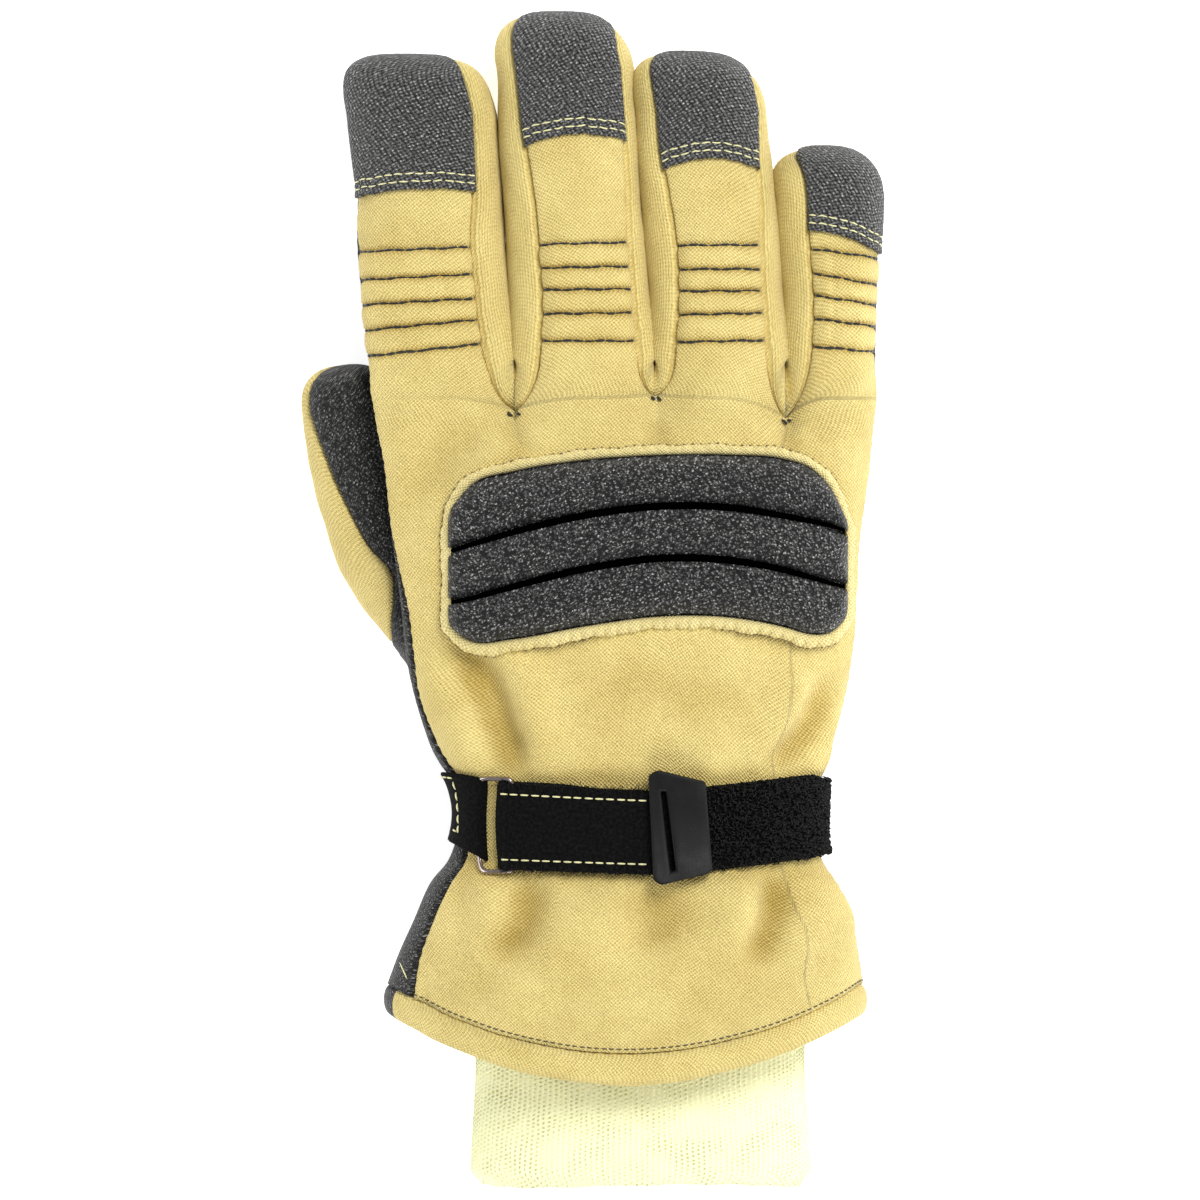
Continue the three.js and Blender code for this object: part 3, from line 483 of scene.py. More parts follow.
def sew(name, patches):
    """A mesh from patches of cloth: outer and inner faces joined by a rim, with flat places in millimetres.
    Patches with no inner face close on themselves."""
    outer = np.concatenate([p["outer"].reshape(-1, 3) for p in patches])
    closed = "inner" not in patches[0]
    inner = outer if closed else np.concatenate([p["inner"].reshape(-1, 3) for p in patches])
    flat = np.concatenate([p["flat"].reshape(-1, 2) for p in patches])
    rounded = np.round(outer * places_per_mm).astype(np.int64)
    first, place = np.unique(rounded, axis=0, return_index=True, return_inverse=True)[1:]
    place = place.ravel()
    quads, corners, start = [], [], 0
    for patch in patches:
        rows, columns = patch["outer"].shape[:2]
        ids = start + np.arange(rows * columns).reshape(rows, columns)
        start += rows * columns
        ring = np.stack([ids[:-1, :-1], ids[:-1, 1:], ids[1:, 1:], ids[1:, :-1]], -1).reshape(-1, 4)
        quads.append(place[ring])
        corners.append(ring)
    quads, corners = np.concatenate(quads), np.concatenate(corners)
    faces, places, directed = [], [], {}
    for quad, corner in zip(quads.tolist(), corners.tolist()):
        kept = [k for k in range(4) if quad[k] != quad[k - 1]]
        if len(kept) < 3 or len({quad[k] for k in kept}) < len(kept):
            continue
        face = [quad[k] for k in kept]
        faces.append(face)
        places.append([corner[k] for k in kept])
        for a, b in zip(face, face[1:] + face[:1]):
            directed[(a, b)] = directed.get((a, b), 0) + 1
    count = len(first)
    rim = [(a, b) for (a, b), uses in directed.items() if uses + directed.get((b, a), 0) == 1 and not closed]
    first_corner = {}
    for face, corner in zip(faces, places):
        for a, b in zip(face, corner):
            first_corner.setdefault(a, b)
    all_faces = faces + ([] if closed else [[v + count for v in reversed(face)] for face in faces])
    all_places = places + ([] if closed else [list(reversed(corner)) for corner in places])
    for a, b in rim:
        all_faces.append([b, a, a + count, b + count])
        all_places.append([first_corner[b], first_corner[a], first_corner[a], first_corner[b]])
    mesh = bpy.data.meshes.new(name)
    points = outer[first] if closed else np.concatenate([outer[first], inner[first]])
    mesh.from_pydata(points * mm, [], all_faces)
    layer = mesh.uv_layers.new(name="flat")
    layer.uv.foreach_set("vector", flat[np.concatenate([np.array(p) for p in all_places])].ravel())
    return show(name, mesh)


def show(name, mesh):
    """Puts a mesh in the scene, facing outwards and smoothly shaded, riding on the glove."""
    work = bmesh.new()
    work.from_mesh(mesh)
    bmesh.ops.recalc_face_normals(work, faces=work.faces)
    work.to_mesh(mesh)
    work.free()
    mesh.shade_smooth()
    piece = bpy.data.objects.new(name, mesh)
    bpy.context.scene.collection.objects.link(piece)
    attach(piece, "root")
    return piece


def mesh_places(mesh):
    places = np.empty(len(mesh.vertices) * 3)
    mesh.vertices.foreach_get("co", places)
    return places.reshape(-1, 3) / mm


def node(tree, kind, *sources, **settings):
    """A shader node with its settings made and its sockets fed in their order."""
    made = tree.nodes.new("ShaderNode" + kind)
    for key, value in settings.items():
        setattr(made, key, value)
    for socket, source in zip(made.inputs, sources):
        if hasattr(source, "is_output"):
            tree.links.new(source, socket)
        elif source is not None:
            socket.default_value = source
    return made.outputs[0]


def set_sockets(shader, **values):
    """Sets a shader's constant values: an underscore stands for a space in a socket's name."""
    for name, value in values.items():
        shader.inputs[name.replace("_", " ")].default_value = value


def new_paint(name):
    paint = bpy.data.materials.new(name)
    paint.use_nodes = True
    return paint, paint.node_tree, paint.node_tree.nodes["Principled BSDF"]


def object_place(tree):
    return tree.nodes.new("ShaderNodeTexCoord").outputs["Object"]


def maths(tree, operation, a, b=0.0, c=0.0):
    return node(tree, "Math", a, b, c, operation=operation)


def colour(*srgb):
    """A colour picked off the photograph as red, green and blue up to 255, in Blender's linear values."""
    return tuple((v / 255 / 12.92 if v < 10.3 else ((v / 255 + 0.055) / 1.055) ** 2.4) for v in srgb) + (1,)


def colours_between(tree, share, low, high):
    made = tree.nodes.new("ShaderNodeMix")
    made.data_type = "RGBA"
    for socket, source in ((made.inputs[0], share), (made.inputs[6], low), (made.inputs[7], high)):
        if hasattr(source, "is_output"):
            tree.links.new(source, socket)
        else:
            socket.default_value = source
    return made.outputs[2]


def cloth_paint(name, roughness, sheen, sheen_tint=(1, 1, 1, 1)):
    """A new cloth material with its constant values set, and its flat places split into across and along."""
    paint, tree, shader = new_paint(name)
    set_sockets(shader, Roughness=roughness, Sheen_Weight=sheen, Sheen_Roughness=0.4, Sheen_Tint=sheen_tint,
                Specular_IOR_Level=0.25)
    flat = tree.nodes.new("ShaderNodeUVMap")
    flat.uv_map = "flat"
    apart = tree.nodes.new("ShaderNodeSeparateXYZ")
    tree.links.new(flat.outputs[0], apart.inputs[0])
    return paint, tree, shader, flat.outputs[0], apart.outputs[0], apart.outputs[1]


def noise(tree, flat, size, detail=2.0, roughness=0.5):
    """Noise with lumps of a size in millimetres."""
    made = tree.nodes.new("ShaderNodeTexNoise")
    tree.links.new(flat, made.inputs["Vector"])
    made.inputs["Scale"].default_value = 1 / size
    made.inputs["Detail"].default_value = detail
    made.inputs["Roughness"].default_value = roughness
    return made.outputs[0]


def bumped(tree, shader, height, depth, strength=1.0):
    """Relief in the finish, with its depth in millimetres."""
    bump = tree.nodes.new("ShaderNodeBump")
    bump.inputs["Strength"].default_value = strength
    bump.inputs["Distance"].default_value = depth * mm
    tree.links.new(height, bump.inputs["Height"])
    tree.links.new(bump.outputs[0], shader.inputs["Normal"])


def waves(tree, place, pitch, warp=None):
    """A wave along a place in millimetres."""
    if warp is not None:
        place = maths(tree, "ADD", place, warp)
    return maths(tree, "SINE", maths(tree, "MULTIPLY", place, 2 * math.pi / pitch))


jersey_stitch = 1.06
jersey_row = 0.78
jersey_depth = 0.32


def jersey_paint(name, light, dark, wales=0.0):
    """Gold jersey knit: staggered loops in rows, a little uneven, with a soft worn face. Wales say how far
    the loops join up into lines, as they do where the cloth is stretched."""
    paint, tree, shader, flat, across, along = cloth_paint(name, 0.85, 0.25, (1, 0.93, 0.7, 1))
    warp = maths(tree, "MULTIPLY_ADD", noise(tree, flat, 3.2), 0.7, -0.35)
    stitches = waves(tree, across, jersey_stitch, warp)
    loops = maths(tree, "MULTIPLY", stitches, waves(tree, along, jersey_stitch, warp))
    lines = waves(tree, along, jersey_row, warp)
    weave = maths(tree, "MULTIPLY_ADD", lines, 0.5 * wales, maths(tree, "MULTIPLY", loops, 1 - 0.5 * wales))
    worn = noise(tree, flat, 17, 4.0, 0.6)
    fibre = noise(tree, flat, 0.5, 2.0, 0.7)
    share = maths(tree, "MULTIPLY_ADD", weave, 0.32, -0.22)
    share = maths(tree, "MULTIPLY_ADD", worn, 0.55, share)
    share = maths(tree, "MULTIPLY_ADD", fibre, 0.95, share)
    # Painted shade: a value stored on the mesh darkens the colour in folds, by the strap and along the
    # quilting.
    painted_shade = tree.nodes.new("ShaderNodeAttribute")
    painted_shade.attribute_name = "painted_shade"
    share = maths(tree, "MULTIPLY_ADD", painted_shade.outputs["Fac"], -0.36, share)
    share = node(tree, "Clamp", share)
    tree.links.new(colours_between(tree, share, dark, light), shader.inputs["Base Color"])
    fuzz = maths(tree, "MULTIPLY", fibre, 0.9)
    bumped(tree, shader, maths(tree, "MULTIPLY_ADD", weave, 0.5, fuzz), jersey_depth)
    return paint


# Painted shade: the fold depth at which it is darkest, and its reach either side of a row of quilting.
fold_shade_depth = 3.5
quilt_shade_reach = 1.1
gold_light = colour(252, 235, 160)
gold_dark = colour(170, 141, 60)
gold_jersey = jersey_paint("gold_jersey", gold_light, gold_dark)
back_strips = [finger_strip(f, 1, quilted(f)) for f in fingers]
back_of_hand = hand_patch(1, back_strips)
for k, strip in enumerate(back_strips):
    strip["flat"][..., 0] += back_of_hand["flat"][0, k * strip_columns, 0] - strip["flat"][0, 0, 0]
back_panel = sew("back_of_hand", [back_of_hand] + back_strips)
back_panel.data.materials.append(gold_jersey)
back_places = mesh_places(back_panel.data)
back_down = root_line - back_places[:, 1]
# Painted shade stored on the mesh: darker in fold valleys, beside the strap's edges and along the quilting.
painted_shade = np.clip(fold_depth(back_places) / fold_shade_depth, 0, 1) * ease(back_down / 8)
strap_edge_shade = np.exp(-((np.abs(back_down - strap_down) - strap_half) / 4) ** 2)
painted_shade = np.maximum(painted_shade, 0.5 * strap_edge_shade)
for finger in fingers:
    left, right = finger.table["left"][2], finger.table["right"][2]
    across = (back_places[:, 0] - left) / (right - left)
    on_finger = (np.abs(across - 0.5) < 0.55) & (back_places[:, 1] > root_line + 5)
    for line in quilt_lines(finger, back_places[:, 0]):
        near = np.exp(-((-back_down - line) / quilt_shade_reach) ** 2)
        painted_shade = np.maximum(painted_shade, np.where(on_finger, near, 0))
back_panel.data.attributes.new("painted_shade", "FLOAT", "POINT").data.foreach_set("value", painted_shade)
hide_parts("back_panel")

# Quilting stitches: rows of black-green thread across the finger backs, sunk between the padded ribs.
# The stitches are thick and all but touch end to end, so the dark thread is also painted shade in the
# grooves.
quilt_thread_and_shade = dict(length=2.7, gap=0.02, thick=0.9, rise=0.16, sink=0.0)


def outward(above, below):
    """A path and its outward directions, from its places at two heights."""
    return above, (above - below) / np.linalg.norm(above - below, axis=1, keepdims=True)


def on_patch(patch, row, column):
    """The places and outward directions of a path over a patch of cloth, by its rows and columns."""
    def sample(grid):
        rows, columns = grid.shape[0] - 1, grid.shape[1] - 1
        r, c = np.clip(row, 0, rows), np.clip(column, 0, columns)
        i, j = np.minimum(r.astype(int), rows - 1), np.minimum(c.astype(int), columns - 1)
        s, t = (r - i)[:, None], (c - j)[:, None]
        return mix(mix(grid[i, j], grid[i, j + 1], t), mix(grid[i + 1, j], grid[i + 1, j + 1], t), s)
    places = sample(patch["outer"])
    out = places - sample(patch["inner"])
    return places, out / np.maximum(np.linalg.norm(out, axis=1, keepdims=True), 1e-6)


def lengths_along(path):
    """Lengths along a path of points, from its first."""
    return np.concatenate([[0], np.cumsum(np.linalg.norm(np.diff(path, axis=0), axis=1))])


def tubes(centre, aside, up, sides, thick, taper=1.0):
    """Rings of points round the centre lines of many tubes."""
    turn = (np.arange(sides) * 2 * math.pi / sides)[None, None, :, None]
    ring = aside[:, :, None] * np.cos(turn) + up[:, :, None] * np.sin(turn)
    return centre[:, :, None] + ring * taper * thick / 2


def stitch_points(path, length, gap, thick, rise, sink, sides=6, steps=7):
    """A row of stitches along a path: each one a short arch of thread whose ends go down into the cloth."""
    places, ups = path
    arc = lengths_along(places)
    count = max(int((arc[-1] + gap) / (length + gap)), 1)
    pitch = (arc[-1] + gap) / count
    t = np.linspace(0, 1, steps)
    shift = 0.12 * length * np.sin(np.arange(count) * 2.3)
    at = np.arange(count)[:, None] * pitch + (pitch - gap) * t[None, :] + shift[:, None] * 0.3
    centre = np.stack([np.interp(at, arc, places[:, k]) for k in range(3)], -1)
    up = np.stack([np.interp(at, arc, ups[:, k]) for k in range(3)], -1)
    run = np.gradient(centre, axis=1)
    run /= np.maximum(np.linalg.norm(run, axis=-1, keepdims=True), 1e-9)
    aside = np.cross(run, up)
    centre = centre + up * ((rise + sink) * np.sin(math.pi * t)[None, :, None] ** 0.6 - sink)
    round_off = (0.35 + 0.65 * np.sin(math.pi * t) ** 0.4)[None, :, None, None]
    return tubes(centre, aside, up, sides, thick, round_off)


def tube_piece(name, paint, groups):
    """Groups of tubes as one piece, each tube closed at its ends."""
    points, faces, start = [], [], 0
    for made in groups:
        count, steps, sides = made.shape[:3]
        ids = start + np.arange(count * steps * sides).reshape(count, steps, sides)
        start += count * steps * sides
        around = np.roll(ids, -1, axis=2)
        quads = np.stack([ids[:, :-1], ids[:, 1:], around[:, 1:], around[:, :-1]], -1).reshape(-1, 4)
        faces += quads.tolist() + ids[:, 0, ::-1].tolist() + ids[:, -1].tolist()
        points.append(made.reshape(-1, 3))
    mesh = bpy.data.meshes.new(name)
    mesh.from_pydata(np.concatenate(points) * mm, [], faces)
    piece = show(name, mesh)
    mesh.materials.append(paint)
    return piece


def thread_piece(name, paint, rows, **make):
    """All the stitches of some rows as one piece."""
    return tube_piece(name, paint, [stitch_points(path, **make) for path in rows])


def thread_paint(name, base, dark):
    """Spun sewing thread, a little darker in its hollows."""
    paint, tree, shader = new_paint(name)
    set_sockets(shader, Roughness=0.7, Sheen_Weight=0.3)
    fleck = noise(tree, object_place(tree), 0.0009, 2.0)
    tree.links.new(colours_between(tree, fleck, dark, base), shader.inputs["Base Color"])
    return paint


dark_thread = thread_paint("dark_thread", colour(24, 24, 19), colour(7, 7, 5))
hem_thread = thread_paint("hem_thread", colour(98, 84, 42), colour(48, 40, 20))
quilt_rows = []
for finger, strip in zip(fingers, back_strips):
    stations = finger_rows(finger, 1)
    columns = np.linspace(0.8, strip_columns - 0.8, 80)
    places = strip["outer"][30, np.round(columns).astype(int)]
    for line in range(len(finger.quilt_left)):
        for _ in range(4):
            ups = quilt_lines(finger, places[:, 0])[line]
            rows = np.interp(ups / finger.straight, stations, np.arange(len(stations)))
            places, out = on_patch(strip, rows, columns)
        quilt_rows.append((places, out))
quilting = thread_piece("quilting_stitches", dark_thread, quilt_rows, **quilt_thread_and_shade)

# Palm with the four finger fronts: charcoal knit with a tough finish, cut in one and sewn to the side
# strips. It comes round the thumb's side of the wrist and the cuff, where its edge shows beside the gold.
palm_strips = [finger_strip(f, -1) for f in fingers]
palm_panel = sew("palm_of_hand", [hand_patch(-1, palm_strips)] + palm_strips)


def heather_paint(name, cell, stagger, depth, bright, grain=0.55, dull=0.05, ground=11):
    """Charcoal heathered knit: raised nubs in slanting rows, flecked with pale fibre, on near black."""
    paint, tree, shader, flat, across, along = cloth_paint(name, 0.6, 0.12)
    slant = maths(tree, "MULTIPLY_ADD", along, 0.5, across)
    rows = maths(tree, "MULTIPLY_ADD", across, -0.5, maths(tree, "MULTIPLY", along, 1.35))
    nubs = tree.nodes.new("ShaderNodeTexVoronoi")
    nubs.inputs["Scale"].default_value = 1 / cell
    nubs.inputs["Randomness"].default_value = stagger
    tree.links.new(node(tree, "CombineXYZ", slant, rows), nubs.inputs["Vector"])
    nub = node(tree, "MapRange", nubs.outputs["Distance"], 0.12, 0.62, 1.0, 0.0)
    fleck = noise(tree, flat, grain, 3.0, 0.7)
    pale = node(tree, "MapRange", fleck, 0.5, 0.68, dull, 1.0)
    share = maths(tree, "MULTIPLY", maths(tree, "MULTIPLY", nub, pale), 1.3)
    ground, fibre = colour(ground, ground, ground), colour(bright, bright, bright - 2)
    tree.links.new(colours_between(tree, share, ground, fibre), shader.inputs["Base Color"])
    bumped(tree, shader, maths(tree, "MULTIPLY_ADD", fleck, 0.7, nub), depth)
    return paint


charcoal_knit = heather_paint("charcoal_knit", cell=1.0, stagger=0.6, depth=0.6, bright=200)
palm_panel.data.materials.append(charcoal_knit)
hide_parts("palm_panel")

# Side strips between the fingers: soft gold knit, each one running up a finger's side, round the crotch
# and up the next. They're cut wide, so they puff out between their two seams.
side_falls = np.linspace(0, 1, 29)
side_web = 7
side_shoulder = 0.15
side_bulge = 0.7
crotch_bulge = 2.3


def side_point(finger, station, direction, fall, inset):
    """A point on a finger's side: fall is 0 at the seam to the back and 1 at the seam to the palm."""
    cut = finger.section(station, inset)
    half = cut["left"] if direction < 0 else cut["right"]
    bend = 1 - cut["grown"]
    side_x, side_y = cut["centre"] + direction * half, cut["y"] + (side_web - inset) * bend
    side = np.stack(np.broadcast_arrays(side_x, side_y, cut["middle"]), -1)
    back = finger.point(station, direction * finger.seam(station, direction, 1), 1, inset)
    palm = finger.point(station, direction * finger.seam(station, direction, -1), -1, inset)
    seam = np.where((fall <= 0.5)[..., None], back, palm)
    shoulder = np.concatenate([side[..., :2], mix(seam[..., 2:], side[..., 2:], side_shoulder)], -1)
    t = np.abs(1 - 2 * fall)[..., None]
    return t * t * seam + 2 * t * (1 - t) * shoulder + (1 - t) ** 2 * side


def side_strip(left, right):
    sides = []
    for finger, direction in ((left, 1), (right, -1)):
        end = finger.left_end if direction < 0 else finger.right_end
        ups = np.concatenate([np.linspace(0, 14, 15), np.arange(15.2, finger.straight - 0.5, 1.3)])
        stations = np.concatenate([ups / finger.straight, 1 + end * np.linspace(0, 0.985, 16)])
        station, fall = np.meshgrid(stations, side_falls, indexing="ij")
        plain = side_point(finger, station, direction, fall, np.zeros_like(fall))
        to_edges = to_edge(plain)
        along = arc_from(plain, 0)
        narrow = np.clip(arc_from(plain, 1)[:, -1:] / 6, 0, 1)
        inset = (roll_in(to_edges) + pucker(to_edges, along + 1.1)) * narrow
        bulge = side_bulge + crotch_bulge * (1 - ease(station * finger.straight / 32))
        inset = inset - bulge * np.sin(math.pi * fall) ** 0.7 * narrow - 0.4 * ripples(plain) * narrow
        outer = side_point(finger, station, direction, fall, inset)
        inner = side_point(finger, station, direction, fall, np.full_like(fall, cloth_wall))
        flat = np.stack([root_line + direction * along, arc_from(plain, 1)], -1)
        sides.append([np.flip(grid, 0) if direction > 0 else grid for grid in (outer, inner, flat)])
    joined = [np.concatenate([sides[0][k], sides[1][k]]) for k in range(3)]
    return dict(zip(("outer", "inner", "flat"), joined))


side_jersey = jersey_paint("side_jersey", gold_light, gold_dark, wales=1.0)
for left, right in zip(fingers, fingers[1:]):
    strip = sew(f"side_strip_{left.name}_{right.name}", [side_strip(left, right)])
    strip.data.materials.append(side_jersey)
    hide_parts(f"fourchette_{left.name}_{right.name}")

# Thread ends: where each crotch's seams meet, the dark thread is knotted off in a small tuft.
tuft_places = ((-22.9, 51.9), (-20.6, 52.1), (15.2, 53.2), (16.8, 53.4), (50.2, 51.9), (51.6, 51.7))
tuft_rows = []
for x, y in tuft_places:
    down = np.maximum(root_line - y, 0) + np.linspace(0, 1.2, 5)
    across = (x + np.linspace(-0.6, 0.5, 5) - hand_middle) / half_hand
    tuft_rows.append(outward(*(hand_point(down, across, np.ones(5), inset) for inset in (-0.1, 0.8))))
tufts = thread_piece("crotch_thread_ends", dark_thread, tuft_rows, length=1.6, gap=0.1, thick=0.9, rise=0.5,
                     sink=0.3)

# Thumb: a tube in two halves that leans out from under the hand, gold outside and charcoal where it grips.
# The seam runs up its outer side, and its root is sewn into the palm.
thumb_width = 24.6
thumb_height = 24
thumb_length = 88
thumb_lean = math.radians(7.4)
thumb_curl = 20
thumb_curl_power = 2.5
thumb_lift = 9
thumb_tip = (-67.8, 62.2)
thumb_dome = 11.5
thumb_squareness = 2.6
thumb_columns = ("from_tip", "share")
thumb_seam_rows = dict(zip(thumb_columns, np.array([
    (0, -1), (5, -0.95), (12, -0.86), (25, -0.66), (35, -0.51), (48, -0.3), (57, -0.06), (62, -0.3),
    (67, -0.74), (71, -1), (88, -1)]).T))
thumb_root_rows = dict(zip(thumb_columns, np.array([
    (0, 1), (55, 1), (60, 0.94), (66, 0.79), (72, 0.69), (88, 0.6)]).T))
thumb_gold_start = 0.2222
thumb_root_start = 0.12


def thumb_row(rows, from_tip):
    return between_rows(rows["from_tip"], rows["share"], from_tip)


def thumb_point(station, turn, inset):
    """Station is 0 at the root, 1 where the tip's dome starts and 2 at its end."""
    dome_turn = np.maximum(station - 1, 0) * math.pi / 2
    shrink = np.maximum(np.cos(dome_turn), 0) ** (2 / thumb_squareness)
    reach = (thumb_dome - inset) * np.sin(dome_turn) ** (2 / thumb_squareness)
    from_tip = np.maximum(thumb_dome + (1 - np.minimum(station, 1)) * (thumb_length - thumb_dome) - reach, 0)
    down = from_tip / thumb_length
    curl = down ** thumb_curl_power
    curl_slope = thumb_curl_power * down ** (thumb_curl_power - 1) * thumb_curl / thumb_length
    lean = thumb_lean + np.arctan(curl_slope)
    c, s = np.cos(turn), np.sin(turn)
    width = thumb_width / 2 * thumb_row(thumb_root_rows, from_tip)
    out = np.sign(c) * np.abs(c) ** (2 / back_roundness) * (width - inset) * shrink
    up = np.sign(s) * np.abs(s) ** (2 / back_roundness) * (thumb_height / 2 - inset) * shrink
    x = thumb_tip[0] + from_tip * math.sin(thumb_lean) + thumb_curl * curl + out * np.cos(lean)
    y = thumb_tip[1] - from_tip * math.cos(thumb_lean) + out * np.sin(lean)
    return np.stack([x, y, thumb_height / 2 + thumb_lift * curl + up], -1)


def thumb_half(gold):
    start = thumb_gold_start if gold else thumb_root_start
    stations = np.concatenate([np.linspace(start, 1, 74), 1 + np.linspace(0.05, 1, 20)])[:, None]
    from_tip = thumb_dome + (1 - np.minimum(stations, 1)) * (thumb_length - thumb_dome)
    share = np.clip(thumb_row(thumb_seam_rows, from_tip), -1, 1)
    seam = math.pi - np.arccos(np.clip(np.abs(share), 0, 1) ** (back_roundness / 2))
    seam = np.where(share < 0, seam, math.pi - seam)
    t = np.linspace(0, 1, 56)[None, :]
    end = 2 * math.pi - seam if gold else seam - 2 * math.pi + 2 * (math.pi - seam)
    turn = mix(seam, end, t)
    station = np.broadcast_to(stations, turn.shape)
    plain = thumb_point(station, turn, np.zeros_like(turn))
    to_edges = to_edge(plain)
    along = arc_from(plain, 0)
    inset = roll_in(to_edges) + pucker(to_edges, along, 0.3) - 0.35 * ripples(plain)
    inset = inset * ease((2 - station) * 6)
    outer = thumb_point(station, turn, inset)
    inner = thumb_point(station, turn, np.full_like(turn, cloth_wall))
    flat = np.stack([arc_from(plain, 1), along], -1)
    return dict(outer=outer, inner=inner, flat=flat)


for name, node_name, gold, paint, slot in (
    ("thumb_gold_half", "thumb_back", True, gold_jersey, "gold"),
    ("thumb_charcoal_half", "thumb_palm", False, charcoal_knit, "charcoal"),
):
    half = sew(name, [thumb_half(gold)])
    half.data.materials.append(paint)
    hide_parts(node_name)

# Fingertip caps: charcoal knit laid over each finger's tip, caught in its side seams and held across the
# finger by two rows of pale thread. The lower edge is left raw.
cap_lift = 1.35
cap_stitch = dict(length=2.5, gap=0.35, thick=0.44, rise=0.2, sink=0.14)
cap_rows_up = (2.1, 4.2)
cap_row_pull = 0.3
cap_shapes = {
    "index": dict(left=54.1, right=55.7, arch=1.4),
    "middle": dict(left=67.5, right=69.1, arch=2.6),
    "ring": dict(left=61.3, right=61.6, arch=3.0),
    "little": dict(left=45.3, right=38.9, arch=1.6),
}
cap_straight_rows = 24
cap_knit = heather_paint("cap_knit", cell=1.2, stagger=0.25, depth=1.1, bright=225, grain=0.8, dull=0.14,
                         ground=13)
pale_thread = thread_paint("pale_thread", colour(238, 236, 186), colour(200, 192, 128))
cap_rng = np.random.default_rng(3)


def cap_patch(finger, shape):
    share = np.linspace(-1, 1, 61)
    foot = mix(shape["left"], shape["right"], (share + 1) / 2) + shape["arch"] * (1 - share**2)
    ragged = np.convolve(cap_rng.normal(0, 0.22, 69), np.ones(3) / 3, "same")[4:65]
    foot = (foot + ragged) / finger.straight
    rows = [mix(foot, 1.0, t) for t in np.linspace(0, 1, cap_straight_rows) ** 1.15]
    rows += [np.full(61, 1 + t) for t in np.linspace(0, 1, 24)[1:]]
    station = np.array(rows)
    ends = [direction * finger.seam(station, direction, 1) for direction in (-1, 1)]
    across = mix(ends[0], ends[1], (share[None, :] + 1) / 2)
    plain = finger.point(station, across, 1, np.zeros_like(station))
    to_edges = to_edge(plain)
    up = arc_from(plain, 0)
    inset = roll_in(to_edges, 1.8) + 0.6 * pucker(to_edges, up) - cap_lift - 0.3 * ripples(plain)
    rows_pull = sum(cap_row_pull * np.exp(-((up - row) / 0.55) ** 2) for row in cap_rows_up)
    inset = inset + rows_pull
    outer = finger.point(station, across, 1, inset)
    inner = finger.point(station, across, 1, np.full_like(station, -0.1))
    flat = np.stack([arc_from(plain, 1), up], -1)
    return dict(outer=outer, inner=inner, flat=flat), up


cap_seams = []
for finger in fingers:
    patch, up = cap_patch(finger, cap_shapes[finger.name])
    cap = sew(f"fingertip_cap_{finger.name}_knit", [patch])
    cap.data.materials.append(cap_knit)
    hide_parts(f"fingertip_cap_{finger.name}")
    for row_up in cap_rows_up:
        columns = np.linspace(1.2, 58.8, 120)
        near = np.clip(np.round(columns).astype(int), 0, 60)
        rows = np.array([np.interp(row_up, up[:, k], np.arange(len(up))) for k in near])
        rows = np.convolve(np.pad(rows, 4, "edge"), np.ones(9) / 9, "valid")
        cap_seams.append(on_patch(patch, rows, columns))
cap_stitching = thread_piece("cap_stitches", pale_thread, cap_seams, **cap_stitch)

# Knuckle guard: three padded ribs of charcoal knit over foam, arched towards the fingers, with the knit
# pulled down hard between them.
guard_columns = ("x", "top", "upper_groove", "lower_groove", "bottom")
guard_lines = dict(zip(guard_columns, np.array([
    (-39.4, 25.0, 12.2, -1.9, -9.3),
    (-34.1, 30.6, 13.8, -0.6, -12.6),
    (-22.4, 34.2, 17.2, 2.7, -12.0),
    (-3.1, 37.3, 21.7, 7.5, -8.6),
    (16.3, 38.6, 24.1, 10.3, -6.0),
    (35.7, 38.7, 23.8, 9.8, -6.2),
    (50.2, 37.6, 21.6, 7.2, -8.8),
    (58.0, 34.8, 20.1, 5.0, -11.0),
    (63.0, 29.6, 19.0, 3.5, -10.6),
    (67.2, 21.0, 18.0, 2.2, -7.0),
]).T))
guard_left, guard_right = guard_lines["x"][0], guard_lines["x"][-1]
guard_corner = 0.1
guard_rise = 7.0
guard_foot = 0.5
guard_rib_power = 0.5
guard_groove = 0.22
hand_gap = 0.5


def over_hand(x, y, raised):
    """A point at a height above the back of the hand, at a place seen from above."""
    down, across = root_line - y, (x - hand_middle) / half_hand
    for _ in range(14):
        point = hand_point(down, across, np.ones_like(across), -raised)
        half = (hand_column("right", down) - hand_column("left", down)) / 2
        across = np.clip(across + (x - point[..., 0]) / half, -0.999, 0.999)
        down = down + point[..., 1] - y
    return hand_point(down, across, np.ones_like(across), -raised)


def guard_place(u, w, grow):
    """A place on the guard: u runs across it from -1 to 1, and w from its lower to its upper edge."""
    half_width = (guard_right - guard_left) / 2 + grow
    x = (guard_left + guard_right) / 2 + u * np.sqrt(1 - guard_corner * w**14) * half_width
    lines = [between_rows(guard_lines["x"], guard_lines[name], x) for name in guard_columns[:0:-1]]
    part = (w + 1) * 1.5
    whole = np.clip(part.astype(int), 0, 2)
    y = np.choose(whole, [mix(lines[k], lines[k + 1], part - k) for k in range(3)])
    middle = (lines[0] + lines[3]) / 2
    squeeze = np.sqrt(1 - guard_corner * np.abs(u)**14)
    half = (lines[3] - lines[0]) / 2
    return x, middle + (y - middle) * squeeze * (1 + grow / half)


